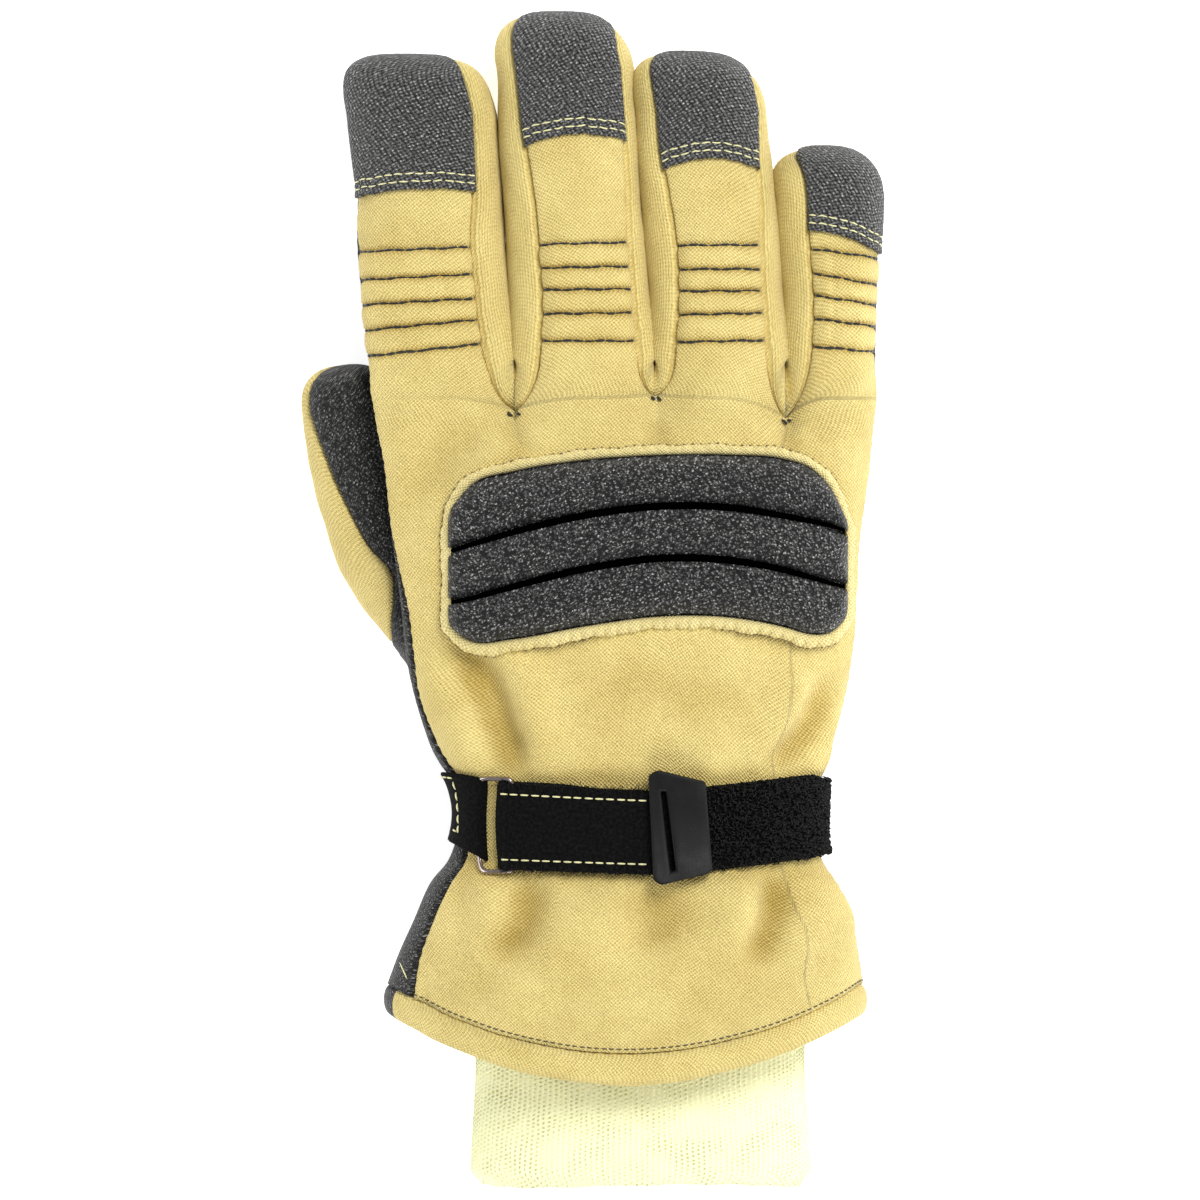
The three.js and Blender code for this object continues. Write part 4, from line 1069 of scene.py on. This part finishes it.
end_turn = 0.94
even_u = np.sin(np.linspace(-1, 1, 131) * math.pi / 2 * end_turn) / math.sin(math.pi / 2 * end_turn)
w, u = np.meshgrid(np.linspace(-1, 1, 91), even_u, indexing="ij")
guard_x, guard_y = guard_place(u, w, 0)
guard_plain = over_hand(guard_x, guard_y, hand_gap)
guard_edges = np.minimum(to_edge(guard_plain), to_edge(guard_plain, 0))
rib = (np.abs(np.sin((w + 1) * 1.5 * math.pi)) - guard_groove) / (1 - guard_groove)
rib = np.clip(rib, 0, 1) ** guard_rib_power
swell = np.clip(1 - (1 - np.clip(guard_edges / 4.2, 0, 1)) ** 2, 0, 1) ** 0.5
uneven = 0.25 * ripples(guard_plain * 1.3)
guard_height = guard_foot + (guard_rise - guard_foot) * np.minimum(rib, 0.06 + 0.94 * swell) + uneven * swell
guard_patch = dict(
    outer=over_hand(guard_x, guard_y, hand_gap + guard_height),
    inner=guard_plain,
    flat=np.stack([arc_from(guard_plain, 1), arc_from(guard_plain, 0)], -1),
)
guard = sew("knuckle_guard_pad", [guard_patch])
guard_knit = heather_paint("guard_knit", cell=0.92, stagger=0.8, depth=1.0, bright=252, grain=0.75)
guard.data.materials.append(guard_knit)
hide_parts("knuckle_guard")
# Black thread along the two grooves: one thick unbroken cord each, with no shine, partly real stitching and
# partly painted shade.
groove_columns = np.linspace(2, 128, 300)
guard_seams = [on_patch(guard_patch, np.full(300, row), groove_columns) for row in (30.0, 60.0)]
black_groove_thread_and_shade = thread_paint("black_groove_thread_and_shade", colour(3, 3, 3), colour(1, 1, 1))
set_sockets(black_groove_thread_and_shade.node_tree.nodes["Principled BSDF"], Sheen_Weight=0.0, Specular_IOR_Level=0.0)
guard_groove_thread_and_shade = thread_piece("guard_stitches", black_groove_thread_and_shade, guard_seams, length=200.0, gap=0.02,
                               thick=2.0, rise=0.1, sink=0.0, steps=200)

# Rolled edge round the guard: a strip of gold jersey folded over the guard's edge and sewn through, so
# that every needle hole pulls a small dent.
binding_width = 3.5
binding_height = 2.3
binding_holes = 3.2
binding_sides = 17
binding_overlap = 0.9
binding_steps = 1000
hole_clearance = 3
turns = np.linspace(0, 2 * math.pi, 721)
reach = np.maximum(np.abs(np.cos(turns)), np.abs(np.sin(turns)))
line = np.stack(guard_place(np.cos(turns) / reach, np.sin(turns) / reach, 0.0), -1)
line_arc = lengths_along(line)
even_arc = np.linspace(0, line_arc[-1], binding_steps + 1)
line = np.stack([np.interp(even_arc, line_arc, line[:, k]) for k in range(2)], -1)[:-1]
weights = np.hanning(31) / np.hanning(31).sum()
line = np.stack([np.convolve(np.pad(line[:, k], 15, "wrap"), weights, "valid") for k in range(2)], -1)
run = np.roll(line, -1, axis=0) - np.roll(line, 1, axis=0)
run = run / np.linalg.norm(run, axis=1, keepdims=True)
away = np.stack([run[:, 1], -run[:, 0]], -1)
line, away = (np.concatenate([v, v[:1]]) for v in (line, away))
section = np.linspace(0, 2 * math.pi, binding_sides)
out_share = 0.5 - 0.5 * np.sign(np.cos(section)) * np.abs(np.cos(section)) ** 0.8
up_share = np.where(np.sin(section) >= 0, np.abs(np.sin(section)) ** 0.75, -0.12)
holes = round(line_arc[-1] / binding_holes)
dent = (0.5 - 0.5 * np.cos(even_arc / line_arc[-1] * holes * 2 * math.pi))[:, None] ** 0.5
uneven = 1 + 0.07 * np.sin(even_arc * 0.37) + 0.05 * np.sin(even_arc * 0.83 + 1)
uneven = uneven * mix(1.02, 0.78, ease((away[:, 1] + 0.75) / 0.9))
out = binding_width * out_share[None, :] * (0.92 + 0.08 * dent) * uneven[:, None] - binding_overlap
side_dent = (np.clip(out_share * 1.6 - 0.5, 0, 1) + 0.5 * np.clip(0.6 - out_share * 1.6, 0, 1))[None, :]
lift = binding_height * up_share[None, :] * (1 - 0.45 * (1 - dent) * side_dent) + 0.35
binding_points = over_hand(line[:, :1] + away[:, :1] * out, line[:, 1:] + away[:, 1:] * out, hand_gap + lift)
binding_points[-1] = binding_points[0]
binding_points[:, -1] = binding_points[:, 0]
round_arc = np.cumsum(np.abs(np.gradient(out_share)))[None, :] * binding_width
binding_flat = np.stack(np.broadcast_arrays(even_arc[:, None], round_arc), -1)
binding = sew("knuckle_guard_edge", [dict(outer=binding_points, flat=binding_flat)])
binding.data.materials.append(jersey_paint("edge_jersey", colour(250, 238, 176), colour(184, 160, 84)))
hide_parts("knuckle_binding")
hole_line = line + away * (binding_width * uneven[:, None] - binding_overlap + 0.1)
seen = hole_line[:, 0] < guard_right - hole_clearance
holes_path = outward(*(over_hand(*hole_line.T, np.full(len(hole_line), high))[seen] for high in (0.5, 0.0)))
edge_thread = thread_paint("edge_thread", colour(140, 120, 66), colour(96, 80, 42))
edge_stitching = thread_piece("guard_edge_stitches", edge_thread, [holes_path], length=0.8, gap=1.4,
                              thick=0.45, rise=0.05, sink=0.3)

# Cuff hem: the gold cloth and the palm rolled under together at the cuff's lower edge, and held by a row
# of dark stitches that sinks between the roll and the cuff.
hem_width = 8.6
hem_thickness = 5.6
hem_round = 2.3
hem_columns = 420
hem_sink = 1.1
hem_gather = 0.22
hem_gather_pitch = 3.3
hem_turns = np.linspace(0, 2 * math.pi, hem_columns + 1)[None, :]
hem_section = np.linspace(0, 2 * math.pi, 33)[:, None]


def signed_power(value, power):
    return np.sign(value) * np.abs(value) ** power


def hem_point(section_turn, turn, grow):
    """The roll's section starts at the stitches, and goes out over the roll and back inside the cuff."""
    down = np.full(np.broadcast(section_turn, turn).shape, hand_length)
    below = hem_width / 2 - (hem_width / 2 + grow) * signed_power(np.cos(section_turn), 2 / hem_round)
    out = -hem_sink + (hem_thickness / 2 + grow) * (signed_power(np.sin(section_turn), 2 / hem_round) - 0.25)
    across = np.broadcast_to(np.cos(turn), down.shape)
    side = np.broadcast_to(np.where(np.sin(turn) >= 0, 1, -1), down.shape)
    point = hand_point(down, across, side, -out)
    point[..., 1] -= below
    point[..., 2] = np.maximum(point[..., 2], 0)
    return point


hem_plain = hem_point(hem_section, hem_turns, 0.0)
hem_arc = arc_from(hem_plain, 1)
gather = hem_gather * np.sin(hem_arc * 2 * math.pi / hem_gather_pitch)
gather = gather * np.exp(-((np.cos(hem_section) - 1) / 0.25) ** 2)
hem_points = hem_point(hem_section, hem_turns, 0.28 * ripples(hem_plain) + gather)
hem_points[:, -1] = hem_points[:, 0]
hem_points[-1] = hem_points[0]
hem_flat = np.stack([hem_arc, arc_from(hem_plain, 0)], -1)
hem = sew("cuff_hem_roll", [dict(outer=hem_points, flat=hem_flat)])
hem.data.materials.append(gold_jersey)
hem.data.materials.append(charcoal_knit)
hem_seam_in = 2.2
hem_seam_turn = math.acos(-1 + 2 * hem_seam_in / (hand_rows["right"][-1] - hand_rows["left"][-1]))
charcoal_part = [(k % hem_columns + 0.5) / hem_columns * 2 * math.pi > hem_seam_turn for k in
                 range(len(hem.data.polygons))]
hem.data.polygons.foreach_set("material_index", np.array(charcoal_part, dtype=np.int32))
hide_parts("cuff_hem")
hem_rows, hem_row_length = back_of_hand["outer"].shape[:2]
hem_path = on_patch(back_of_hand, np.full(700, hem_rows - 1.7), np.linspace(0.5, hem_row_length - 1.5, 700))
seam_end = np.linspace((-52.3, -97.2), (-50.2, -101.6), 9)
seam_end_path = outward(*(over_hand(*seam_end.T, np.full(9, high)) for high in (0.3, 0.0)))
hem_seam = thread_piece("hem_stitches", hem_thread, [hem_path], length=1.7, gap=0.25, thick=0.5, rise=0.1,
                        sink=0.25)
side_seam_end = thread_piece("side_seam_end_stitch", pale_thread, [seam_end_path], length=4.6, gap=0.1,
                             thick=0.55, rise=0.3, sink=0.1)

# Wristlet: a tube of pale yellow rib knit that is sewn in at the wrist and hangs out below the hem. Its
# ribs run lengthwise, and its lower end is the knit's own edge.
wristlet_width = 91
wristlet_height = 44
wristlet_middle = (11.9, 27)
wristlet_wall = 1.6
wristlet_rib = 1.5
wristlet_columns = 700
wristlet_end = -156.6
wristlet_start = -96
wristlet_ups = np.concatenate([[0], np.linspace(6, 60.6, 44)])
wristlet_flare = 2.1
wristlet_flare_run = 34
wristlet_draw = 2.0
wristlet_draw_run = 5
wristlet_squareness = 0.85


def wristlet_point(y, turn, inset):
    c, s = np.cos(turn), np.sin(turn)
    flare = wristlet_flare * ease((y - wristlet_end - wristlet_flare_run) / -wristlet_flare_run)
    wider = flare - wristlet_draw * ease((wristlet_end + wristlet_draw_run - y) / wristlet_draw_run) ** 2.5
    half_width = wristlet_width / 2 - 1.9 + wider - inset
    x = wristlet_middle[0] + signed_power(c, wristlet_squareness) * half_width
    z = wristlet_middle[1] + signed_power(s, wristlet_squareness) * (wristlet_height / 2 - inset)
    return np.stack(np.broadcast_arrays(x, y, z), -1)


wrist_turns = np.linspace(0, 2 * math.pi, 2001)
ring = wristlet_point(np.full(2001, -150.0), wrist_turns, 0)
ring_arc = lengths_along(ring)
ribs_round = round(ring_arc[-1] / wristlet_rib)
turn = np.interp(np.linspace(0, ring_arc[-1], wristlet_columns + 1), ring_arc, wrist_turns)[None, :]
rib_place = np.linspace(0, 2 * math.pi * ribs_round, wristlet_columns + 1)[None, :]
level = wristlet_start - wristlet_ups[:, None]
y = level + 0 * turn
end_share = ease((-y - 140) / 17)
y = y - 0.5 * end_share * np.sin(3 * turn + 1) - 0.15 * end_share * np.sin(17 * turn)
y = y - 0.12 * end_share * np.cos(rib_place)
bow = 0.7 * np.sin(2.0 * turn + y / 14) + 0.5 * np.sin(5 * turn - y / 9)
tuck = 1.1 * ease((-y - 150.5) / 6) ** 2
relief = 0.2 * np.cos(rib_place + 0.5 * np.sin(y / 5))
wristlet_outer = wristlet_point(y, turn, -relief + 0.3 * bow + tuck)
wristlet_inner = wristlet_point(y, turn, wristlet_wall + 0.3 * bow)
for grid in (wristlet_outer, wristlet_inner):
    grid[:, -1] = grid[:, 0]
even_ring = np.linspace(0, ring_arc[-1], wristlet_columns + 1)[None, :]
wristlet_flat = np.stack(np.broadcast_arrays(even_ring, level), -1)
wristlet = sew("wristlet_rib_knit", [dict(outer=wristlet_outer, inner=wristlet_inner, flat=wristlet_flat)])


def rib_knit_paint(name, light, dark):
    """Rib knit: loops in columns, open between the ribs."""
    paint, tree, shader, flat, across, along = cloth_paint(name, 0.85, 0.3)
    across = maths(tree, "MULTIPLY_ADD", noise(tree, flat, 5), 1.3, across)
    along = maths(tree, "MULTIPLY_ADD", noise(tree, flat, 2.5), 1.2, along)
    wale = maths(tree, "COSINE", maths(tree, "MULTIPLY", across, 2 * math.pi / wristlet_rib))
    course = waves(tree, maths(tree, "MULTIPLY_ADD", across, 0.35, along), 1.15)
    hole = maths(tree, "MULTIPLY", node(tree, "MapRange", wale, 0.1, -0.9, 0.0, 1.0),
                 node(tree, "MapRange", course, -0.2, 0.9, 0.0, 1.0))
    fibre = noise(tree, flat, 0.5, 2.0, 0.6)
    open_share = node(tree, "MapRange", noise(tree, flat, 9, 2.0), 0.3, 0.65, 0.15, 0.95)
    hole = maths(tree, "MULTIPLY", hole, open_share)
    share = maths(tree, "SUBTRACT", maths(tree, "MULTIPLY_ADD", fibre, 0.6, 0.6), hole)
    share = node(tree, "Clamp", share)
    tree.links.new(colours_between(tree, share, dark, light), shader.inputs["Base Color"])
    bumped(tree, shader, maths(tree, "SUBTRACT", fibre, hole), 0.3)
    return paint


wristlet.data.materials.append(rib_knit_paint("rib_knit", colour(255, 255, 212), colour(206, 204, 118)))
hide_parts("wristlet")

# Wrist strap, little-finger side: black loop tape sewn round the edge of the wrist, all short curly pile.
tape_top = np.array([(29, -50.4), (45, -48.8), (57.5, -47.3), (59.6, -48.4)])
tape_bottom = np.array([(29, -72.9), (45, -71.2), (57.5, -69.6), (59.6, -68.4)])
tape_thickness = 1.7
strap_gap = 0.3
side_wrap = 0.75
tape_start = 27
left_x, right_x = (float(hand_column(name, strap_down)) for name in ("left", "right"))
wrist_width = right_x - left_x


def strap_patch(turns, top, bottom, outer_raise, inner_raise, rows=31):
    """A strap over the wrist: turns go round the wrist, and top and bottom give its edges over x."""
    turn = turns[None, :]
    across = np.cos(turn)
    side = np.where(np.sin(turn) >= 0, 1, -1)
    x = mix(left_x, right_x, (across + 1) / 2)
    edge_top = np.interp(x, top[:, 0], top[:, 1])
    edge_bottom = np.interp(x, bottom[:, 0], bottom[:, 1])
    share = np.linspace(0, 1, rows)[:, None]
    y = mix(edge_top, edge_bottom, share)
    down = root_line - y
    shape = np.broadcast(down, across).shape
    down, across, side, x = (np.broadcast_to(v, shape) for v in (down, across, side, x))
    left, right = hand_column("left", down), hand_column("right", down)
    straight = np.clip((x - (left + right) / 2) / ((right - left) / 2 + outer_raise), -1, 1)
    across = mix(straight, across, np.abs(across) ** 30)
    edge = np.minimum(share, 1 - share) * np.abs(edge_top - edge_bottom)
    thin = roll_in(edge, 0.7)
    outer = hand_point(down, across, side, -(outer_raise - thin))
    inner = hand_point(down, across, side, -np.broadcast_to(inner_raise, shape))
    flat = np.stack([arc_from(outer, 1), arc_from(outer, 0)], -1)
    return dict(outer=outer, inner=inner, flat=flat)


def wrist_turn(x):
    return math.acos(np.clip((x - (left_x + right_x) / 2) / (wrist_width / 2), -1, 1))


tape_turns = np.linspace(-side_wrap, wrist_turn(tape_start), 70)
tape_patch = strap_patch(tape_turns, tape_top, tape_bottom, strap_gap + tape_thickness, strap_gap)
tape = sew("loop_tape", [tape_patch])


def pile_paint(name, low, high, size, depth):
    """Napped black surface: fine lumps of pile."""
    paint, tree, shader, flat = cloth_paint(name, 0.9, 0.0)[:4]
    set_sockets(shader, Specular_IOR_Level=0.1)
    lumps = noise(tree, flat, size, 3.0, 0.65)
    wide = noise(tree, flat, 6, 2.0)
    share = maths(tree, "MULTIPLY", node(tree, "MapRange", lumps, 0.42, 0.75, 0.0, 1.0),
                  maths(tree, "MULTIPLY_ADD", wide, 0.8, 0.5))
    tree.links.new(colours_between(tree, share, low, high), shader.inputs["Base Color"])
    bumped(tree, shader, lumps, depth)
    return paint


tape_paint = pile_paint("loop_tape_pile", colour(3, 3, 3), colour(22, 22, 22), size=0.6, depth=0.5)
tape.data.materials.append(tape_paint)
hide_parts("strap_loop")


def curls(name, paint, patch, count, width, height, thick, seed, edges_only=False, open_share=0.0):
    """Short curls of fibre that stand out of a patch: whole loops, or loose ends over its edges."""
    draw = np.random.default_rng(seed)
    rows, columns = patch["outer"].shape[0] - 1, patch["outer"].shape[1] - 1
    row = draw.uniform(0, rows, count)
    if edges_only:
        row = np.where(draw.random(count) < 0.5, 0, rows) + draw.normal(0, 0.35, count)
    base, up = on_patch(patch, row, draw.uniform(0, columns, count))
    aside = np.cross(up, draw.normal(size=(count, 3)))
    aside /= np.linalg.norm(aside, axis=1, keepdims=True)
    lean = np.cross(up, aside) * draw.normal(0, 0.35, (count, 1))
    t = np.linspace(0, 1, 6)[None, :, None]
    wide, high = (size * draw.uniform(0.6, 1.3, (count, 1, 1)) for size in (width, height))
    loose = (draw.random(count) < open_share)[:, None, None]
    arch = np.where(loose, t * 0.8, np.sin(math.pi * t))
    reach = np.where(loose, t * 1.6, 0.5 - 0.5 * np.cos(math.pi * t))
    centre = base[:, None] + aside[:, None] * wide * (reach - 0.5) + (up + lean)[:, None] * high * arch
    centre = centre - up[:, None] * 0.1
    run = np.gradient(centre, axis=1)
    side = np.cross(run, aside[:, None] + 0.3 * up[:, None])
    side /= np.maximum(np.linalg.norm(side, axis=-1, keepdims=True), 1e-9)
    other = np.cross(run, side)
    other /= np.maximum(np.linalg.norm(other, axis=-1, keepdims=True), 1e-9)
    return tube_piece(name, paint, [tubes(centre, side, other, 3, thick)])


black_fibre = thread_paint("black_fibre", colour(12, 12, 12), colour(2, 2, 2))
set_sockets(black_fibre.node_tree.nodes["Principled BSDF"], Sheen_Weight=0.0, Specular_IOR_Level=0.35)
pile = curls("loop_tape_curls", black_fibre, tape_patch, count=4600, width=0.9, height=1.0, thick=0.3,
             seed=11)

# Wrist strap, thumb side: a suede tab sewn into the side seam and folded round the wire ring, with a
# stitched box.
tab_start, tab_end = -36.9, -30.4
tab_fold = 2.2
tab_top = np.array([(-37, -46.6), (-34, -47.6), (-31.5, -48.6), (-29, -49.2)])
tab_bottom = np.array([(-37, -65.0), (-35, -67.2), (-29, -71.2)])
tab_turns = np.linspace(wrist_turn(tab_end), wrist_turn(tab_start), 46)
tab_x = mix(left_x, right_x, (np.cos(tab_turns) + 1) / 2)
fold_share = np.clip((tab_x - (tab_end - tab_fold)) / tab_fold, 0, 1)
tab_rise = 1.0 + 1.7 * ease((tab_x - tab_end + 9) / 6) * np.sqrt(1 - fold_share**2 * 0.98)
suede_paint = pile_paint("black_suede", colour(3, 3, 3), colour(24, 24, 24), size=0.9, depth=0.3)
tab_patch = strap_patch(tab_turns, tab_top, tab_bottom, strap_gap + tab_rise[None, :], strap_gap)
tab = sew("suede_tab", [tab_patch])
tab.data.materials.append(suede_paint)
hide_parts("strap_tab")

# Wire ring: a rectangle of dark nickel wire with rounded corners, held by the tab and by the flap's fold.
ring_left, ring_right = -31.6, -22.0
ring_top, ring_bottom = -48.3, -73.0
ring_wire = 1.35
ring_squareness = 0.3
ring_slant = 0.6
ring_raise = 1.2
ring_sides = 12
ring_turns = np.linspace(0, 2 * math.pi, 161)[:, None]
ring_c, ring_s = (signed_power(wave, ring_squareness) for wave in (np.cos(ring_turns), np.sin(ring_turns)))
ring_x = (ring_left + ring_right) / 2 + ring_c * (ring_right - ring_left) / 2
ring_y = (ring_top + ring_bottom) / 2 + ring_s * (ring_top - ring_bottom) / 2
ring_x = ring_x + ring_slant * (ring_top - ring_y) / (ring_top - ring_bottom)
ring_level = over_hand(ring_x, ring_y, strap_gap + ring_raise)[..., 2]
around = np.linspace(0, 2 * math.pi, ring_sides + 1)[None, :]
wide = np.hypot(ring_c, ring_s)
out_x, out_y = ring_c / wide, ring_s / wide
ring_points = np.stack([ring_x + out_x * np.cos(around) * ring_wire / 2,
                        ring_y + out_y * np.cos(around) * ring_wire / 2,
                        ring_level + np.sin(around) * ring_wire / 2], -1)
ring_points[-1] = ring_points[0]
ring_points[:, -1] = ring_points[:, 0]
ring_flat = np.stack(np.broadcast_arrays(ring_turns * 10, around), -1)
wire_ring = sew("wire_ring", [dict(outer=ring_points, flat=ring_flat)])
wire_paint, wire_tree, wire_shader = new_paint("dark_nickel")
set_sockets(wire_shader, Metallic=1.0, Roughness=0.25)
wire_tarnish = noise(wire_tree, object_place(wire_tree), 0.004)
wire_colour = colours_between(wire_tree, wire_tarnish, colour(120, 108, 106), colour(196, 184, 180))
wire_tree.links.new(wire_colour, wire_shader.inputs["Base Color"])
wire_ring.data.materials.append(wire_paint)
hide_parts("strap_ring")

# Strap flap: suede that goes through the ring and folds back on itself, with a row of pale stitches near
# each edge. Its other end carries the pull tab.
flap_start, flap_end = -26.8, 25
flap_top = np.array([(-27, -49.4), (0, -50.8), (25, -51.8)])
flap_bottom = np.array([(-27, -72.4), (0, -73.2), (25, -73.9)])
flap_thickness = 1.4
flap_fold = 2.6
flap_turns = np.linspace(wrist_turn(flap_end), wrist_turn(flap_start), 90)
flap_x = mix(left_x, right_x, (np.cos(flap_turns) + 1) / 2)
fold_share = np.clip((flap_start + flap_fold - flap_x) / flap_fold, 0, 1)
flap_fullness = flap_thickness + 0.4 * ease((flap_start + 9 - flap_x) / 8)
flap_rise = 1.1 + flap_fullness * np.sqrt(1 - 0.97 * fold_share**2)
flap_patch = strap_patch(flap_turns, flap_top, flap_bottom, strap_gap + flap_rise[None, :], strap_gap + 0.6,
                         rows=41)
under_top = np.array([(-27, -48.8), (-10, -49.6), (0, -50.9), (25, -51.9)])
under_patch = strap_patch(flap_turns[30:], under_top, flap_bottom + np.array([0, 0.3]), strap_gap + 1.3,
                          strap_gap + 0.1, rows=15)
flap = sew("suede_flap", [flap_patch, under_patch])
flap.data.materials.append(suede_paint)
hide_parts("strap_flap")
flap_seams = [on_patch(flap_patch, np.full(200, row), np.linspace(18, 87, 200)) for row in (5.0, 35.4)]
box_rows = np.concatenate([np.full(14, 2.0), np.linspace(2.0, 24, 40), np.full(10, 24.0)])
box_columns = np.concatenate([np.linspace(44, 29, 14), np.linspace(29, 25, 40), np.linspace(25, 33, 10)])
tab_seams = [on_patch(tab_patch, box_rows, box_columns)]
suede_fluff = curls("suede_edge_fibres", black_fibre, flap_patch, count=420, width=1.3, height=1.2,
                    thick=0.14, seed=12, edges_only=True, open_share=0.8)
strap_stitching = thread_piece("strap_stitches", pale_thread, flap_seams + tab_seams, length=2.3, gap=0.45,
                               thick=0.5, rise=0.22, sink=0.18)

# Pull tab: a plate of charcoal plastic moulded round the flap's end, bevelled, with a slot where the
# strap's end is sewn through.
pull_outline = np.array([(16.5, -45.9), (29.2, -49.0), (31.0, -72.2), (30.2, -73.4), (17.2, -76.5),
                         (15.2, -75.2), (13.9, -47.3)])
pull_slot = np.array([(17.2, -51.6), (18.6, -51.6), (21.2, -72.6), (19.8, -72.9)])
pull_thickness = 3.0
pull_raise = 2.8
pull_bevel = 0.9
pull_sink = 0.4


def pull_plate():
    work = bmesh.new()
    loops = []
    for outline in (pull_outline, pull_slot):
        corners = [work.verts.new((x * mm, y * mm, 0)) for x, y in outline]
        loops.append([work.edges.new((a, b)) for a, b in zip(corners, corners[1:] + corners[:1])])
    bmesh.ops.triangle_fill(work, edges=loops[0] + loops[1], use_beauty=True)
    faces = list(work.faces)
    made = bmesh.ops.extrude_face_region(work, geom=faces)
    top = [v for v in made["geom"] if isinstance(v, bmesh.types.BMVert)]
    bmesh.ops.translate(work, verts=top, vec=(0, 0, pull_thickness * mm))
    bmesh.ops.recalc_face_normals(work, faces=work.faces)
    mesh = bpy.data.meshes.new("pull_plate")
    work.to_mesh(mesh)
    work.free()
    plate = bpy.data.objects.new("pull_plate", mesh)
    bpy.context.scene.collection.objects.link(plate)
    bevel = plate.modifiers.new("edges", "BEVEL")
    bevel.width = pull_bevel * mm
    bevel.segments = 4
    bevel.limit_method = "ANGLE"
    bevel.angle_limit = math.radians(40)
    finer = plate.modifiers.new("finer", "SUBSURF")
    finer.subdivision_type = "SIMPLE"
    finer.levels = 2
    finer.render_levels = 2
    shaped = bpy.data.meshes.new_from_object(plate.evaluated_get(bpy.context.evaluated_depsgraph_get()))
    bpy.data.objects.remove(plate)
    places = mesh_places(shaped)
    laid = over_hand(places[:, 0], places[:, 1], pull_raise)
    laid[:, 2] += places[:, 2] - pull_sink
    laid[:, :2] = places[:, :2]
    shaped.vertices.foreach_set("co", (laid * mm).ravel())
    return shaped


bpy.context.view_layer.update()
pull_tab = show("pull_tab_plate", pull_plate())


def plastic_paint():
    """Satin moulded plastic: fine pitting and a few rubbed spots."""
    paint, tree, shader = new_paint("moulded_plastic")
    place = object_place(tree)
    set_sockets(shader, Specular_IOR_Level=0.2)
    rubbed = noise(tree, place, 0.006, 3.0)
    rubbed_colour = colours_between(tree, rubbed, colour(8, 8, 9), colour(17, 17, 18))
    tree.links.new(rubbed_colour, shader.inputs["Base Color"])
    tree.links.new(node(tree, "MapRange", rubbed, 0.3, 0.7, 0.42, 0.6), shader.inputs["Roughness"])
    bumped(tree, shader, noise(tree, place, 0.00035, 2.0), 0.05)
    return paint


pull_tab.data.materials.append(plastic_paint())
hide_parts("pull_tab")

# A pale glowing floor under the glove, soft light from all round, a strong lamp at the upper right, and
# three weaker ones at the sides and the wrist. The camera looks straight down through a long lens, as in
# the photograph.
picture_middle = (1.07, -0.73)
picture_width = 320
camera_height = 5.0
sensor_width = 36
camera = bpy.data.objects.new("camera", bpy.data.cameras.new("camera"))
camera.data.sensor_width = sensor_width
camera.data.lens = sensor_width * camera_height / (picture_width * mm)
camera.data.clip_end = 50
camera.location = (picture_middle[0] * mm, picture_middle[1] * mm, camera_height + 0.03)
bpy.context.scene.collection.objects.link(camera)
bpy.context.scene.camera = camera

floor_mesh = bpy.data.meshes.new("floor")
floor_half = 3.0
floor_corners = [(x * floor_half, y * floor_half, 0) for x, y in ((-1, -1), (1, -1), (1, 1), (-1, 1))]
floor_mesh.from_pydata(floor_corners, [], [(0, 1, 2, 3)])
floor = bpy.data.objects.new("floor", floor_mesh)
bpy.context.scene.collection.objects.link(floor)
floor_paint, _, floor_shader = new_paint("floor_paint")
set_sockets(floor_shader, Base_Color=(0.95, 0.95, 0.95, 1), Roughness=0.9, Emission_Color=(1, 1, 1, 1),
            Emission_Strength=0.7)
floor_mesh.materials.append(floor_paint)

world = bpy.data.worlds.new("studio")
world.use_nodes = True
set_sockets(world.node_tree.nodes["Background"], Color=(1, 1, 1, 1), Strength=0.36)
bpy.context.scene.world = world
bpy.context.scene.view_settings.view_transform = "Standard"
for light_name, place, size, power in (
    ("key", (0.55, 0.8, 1.25), 0.75, 21),
    ("left", (-1.2, 0.1, 0.4), 0.7, 6),
    ("right", (1.2, -0.1, 0.4), 0.7, 5),
    ("low", (0.1, -1.2, 0.6), 0.7, 10),
):
    light = bpy.data.objects.new(light_name, bpy.data.lights.new(light_name, "AREA"))
    light.data.size = size
    light.data.energy = power
    light.location = place
    aim = np.array(place) / np.linalg.norm(place)
    light.rotation_euler = (math.acos(aim[2]), 0, math.atan2(aim[0], -aim[1]))
    bpy.context.scene.collection.objects.link(light)
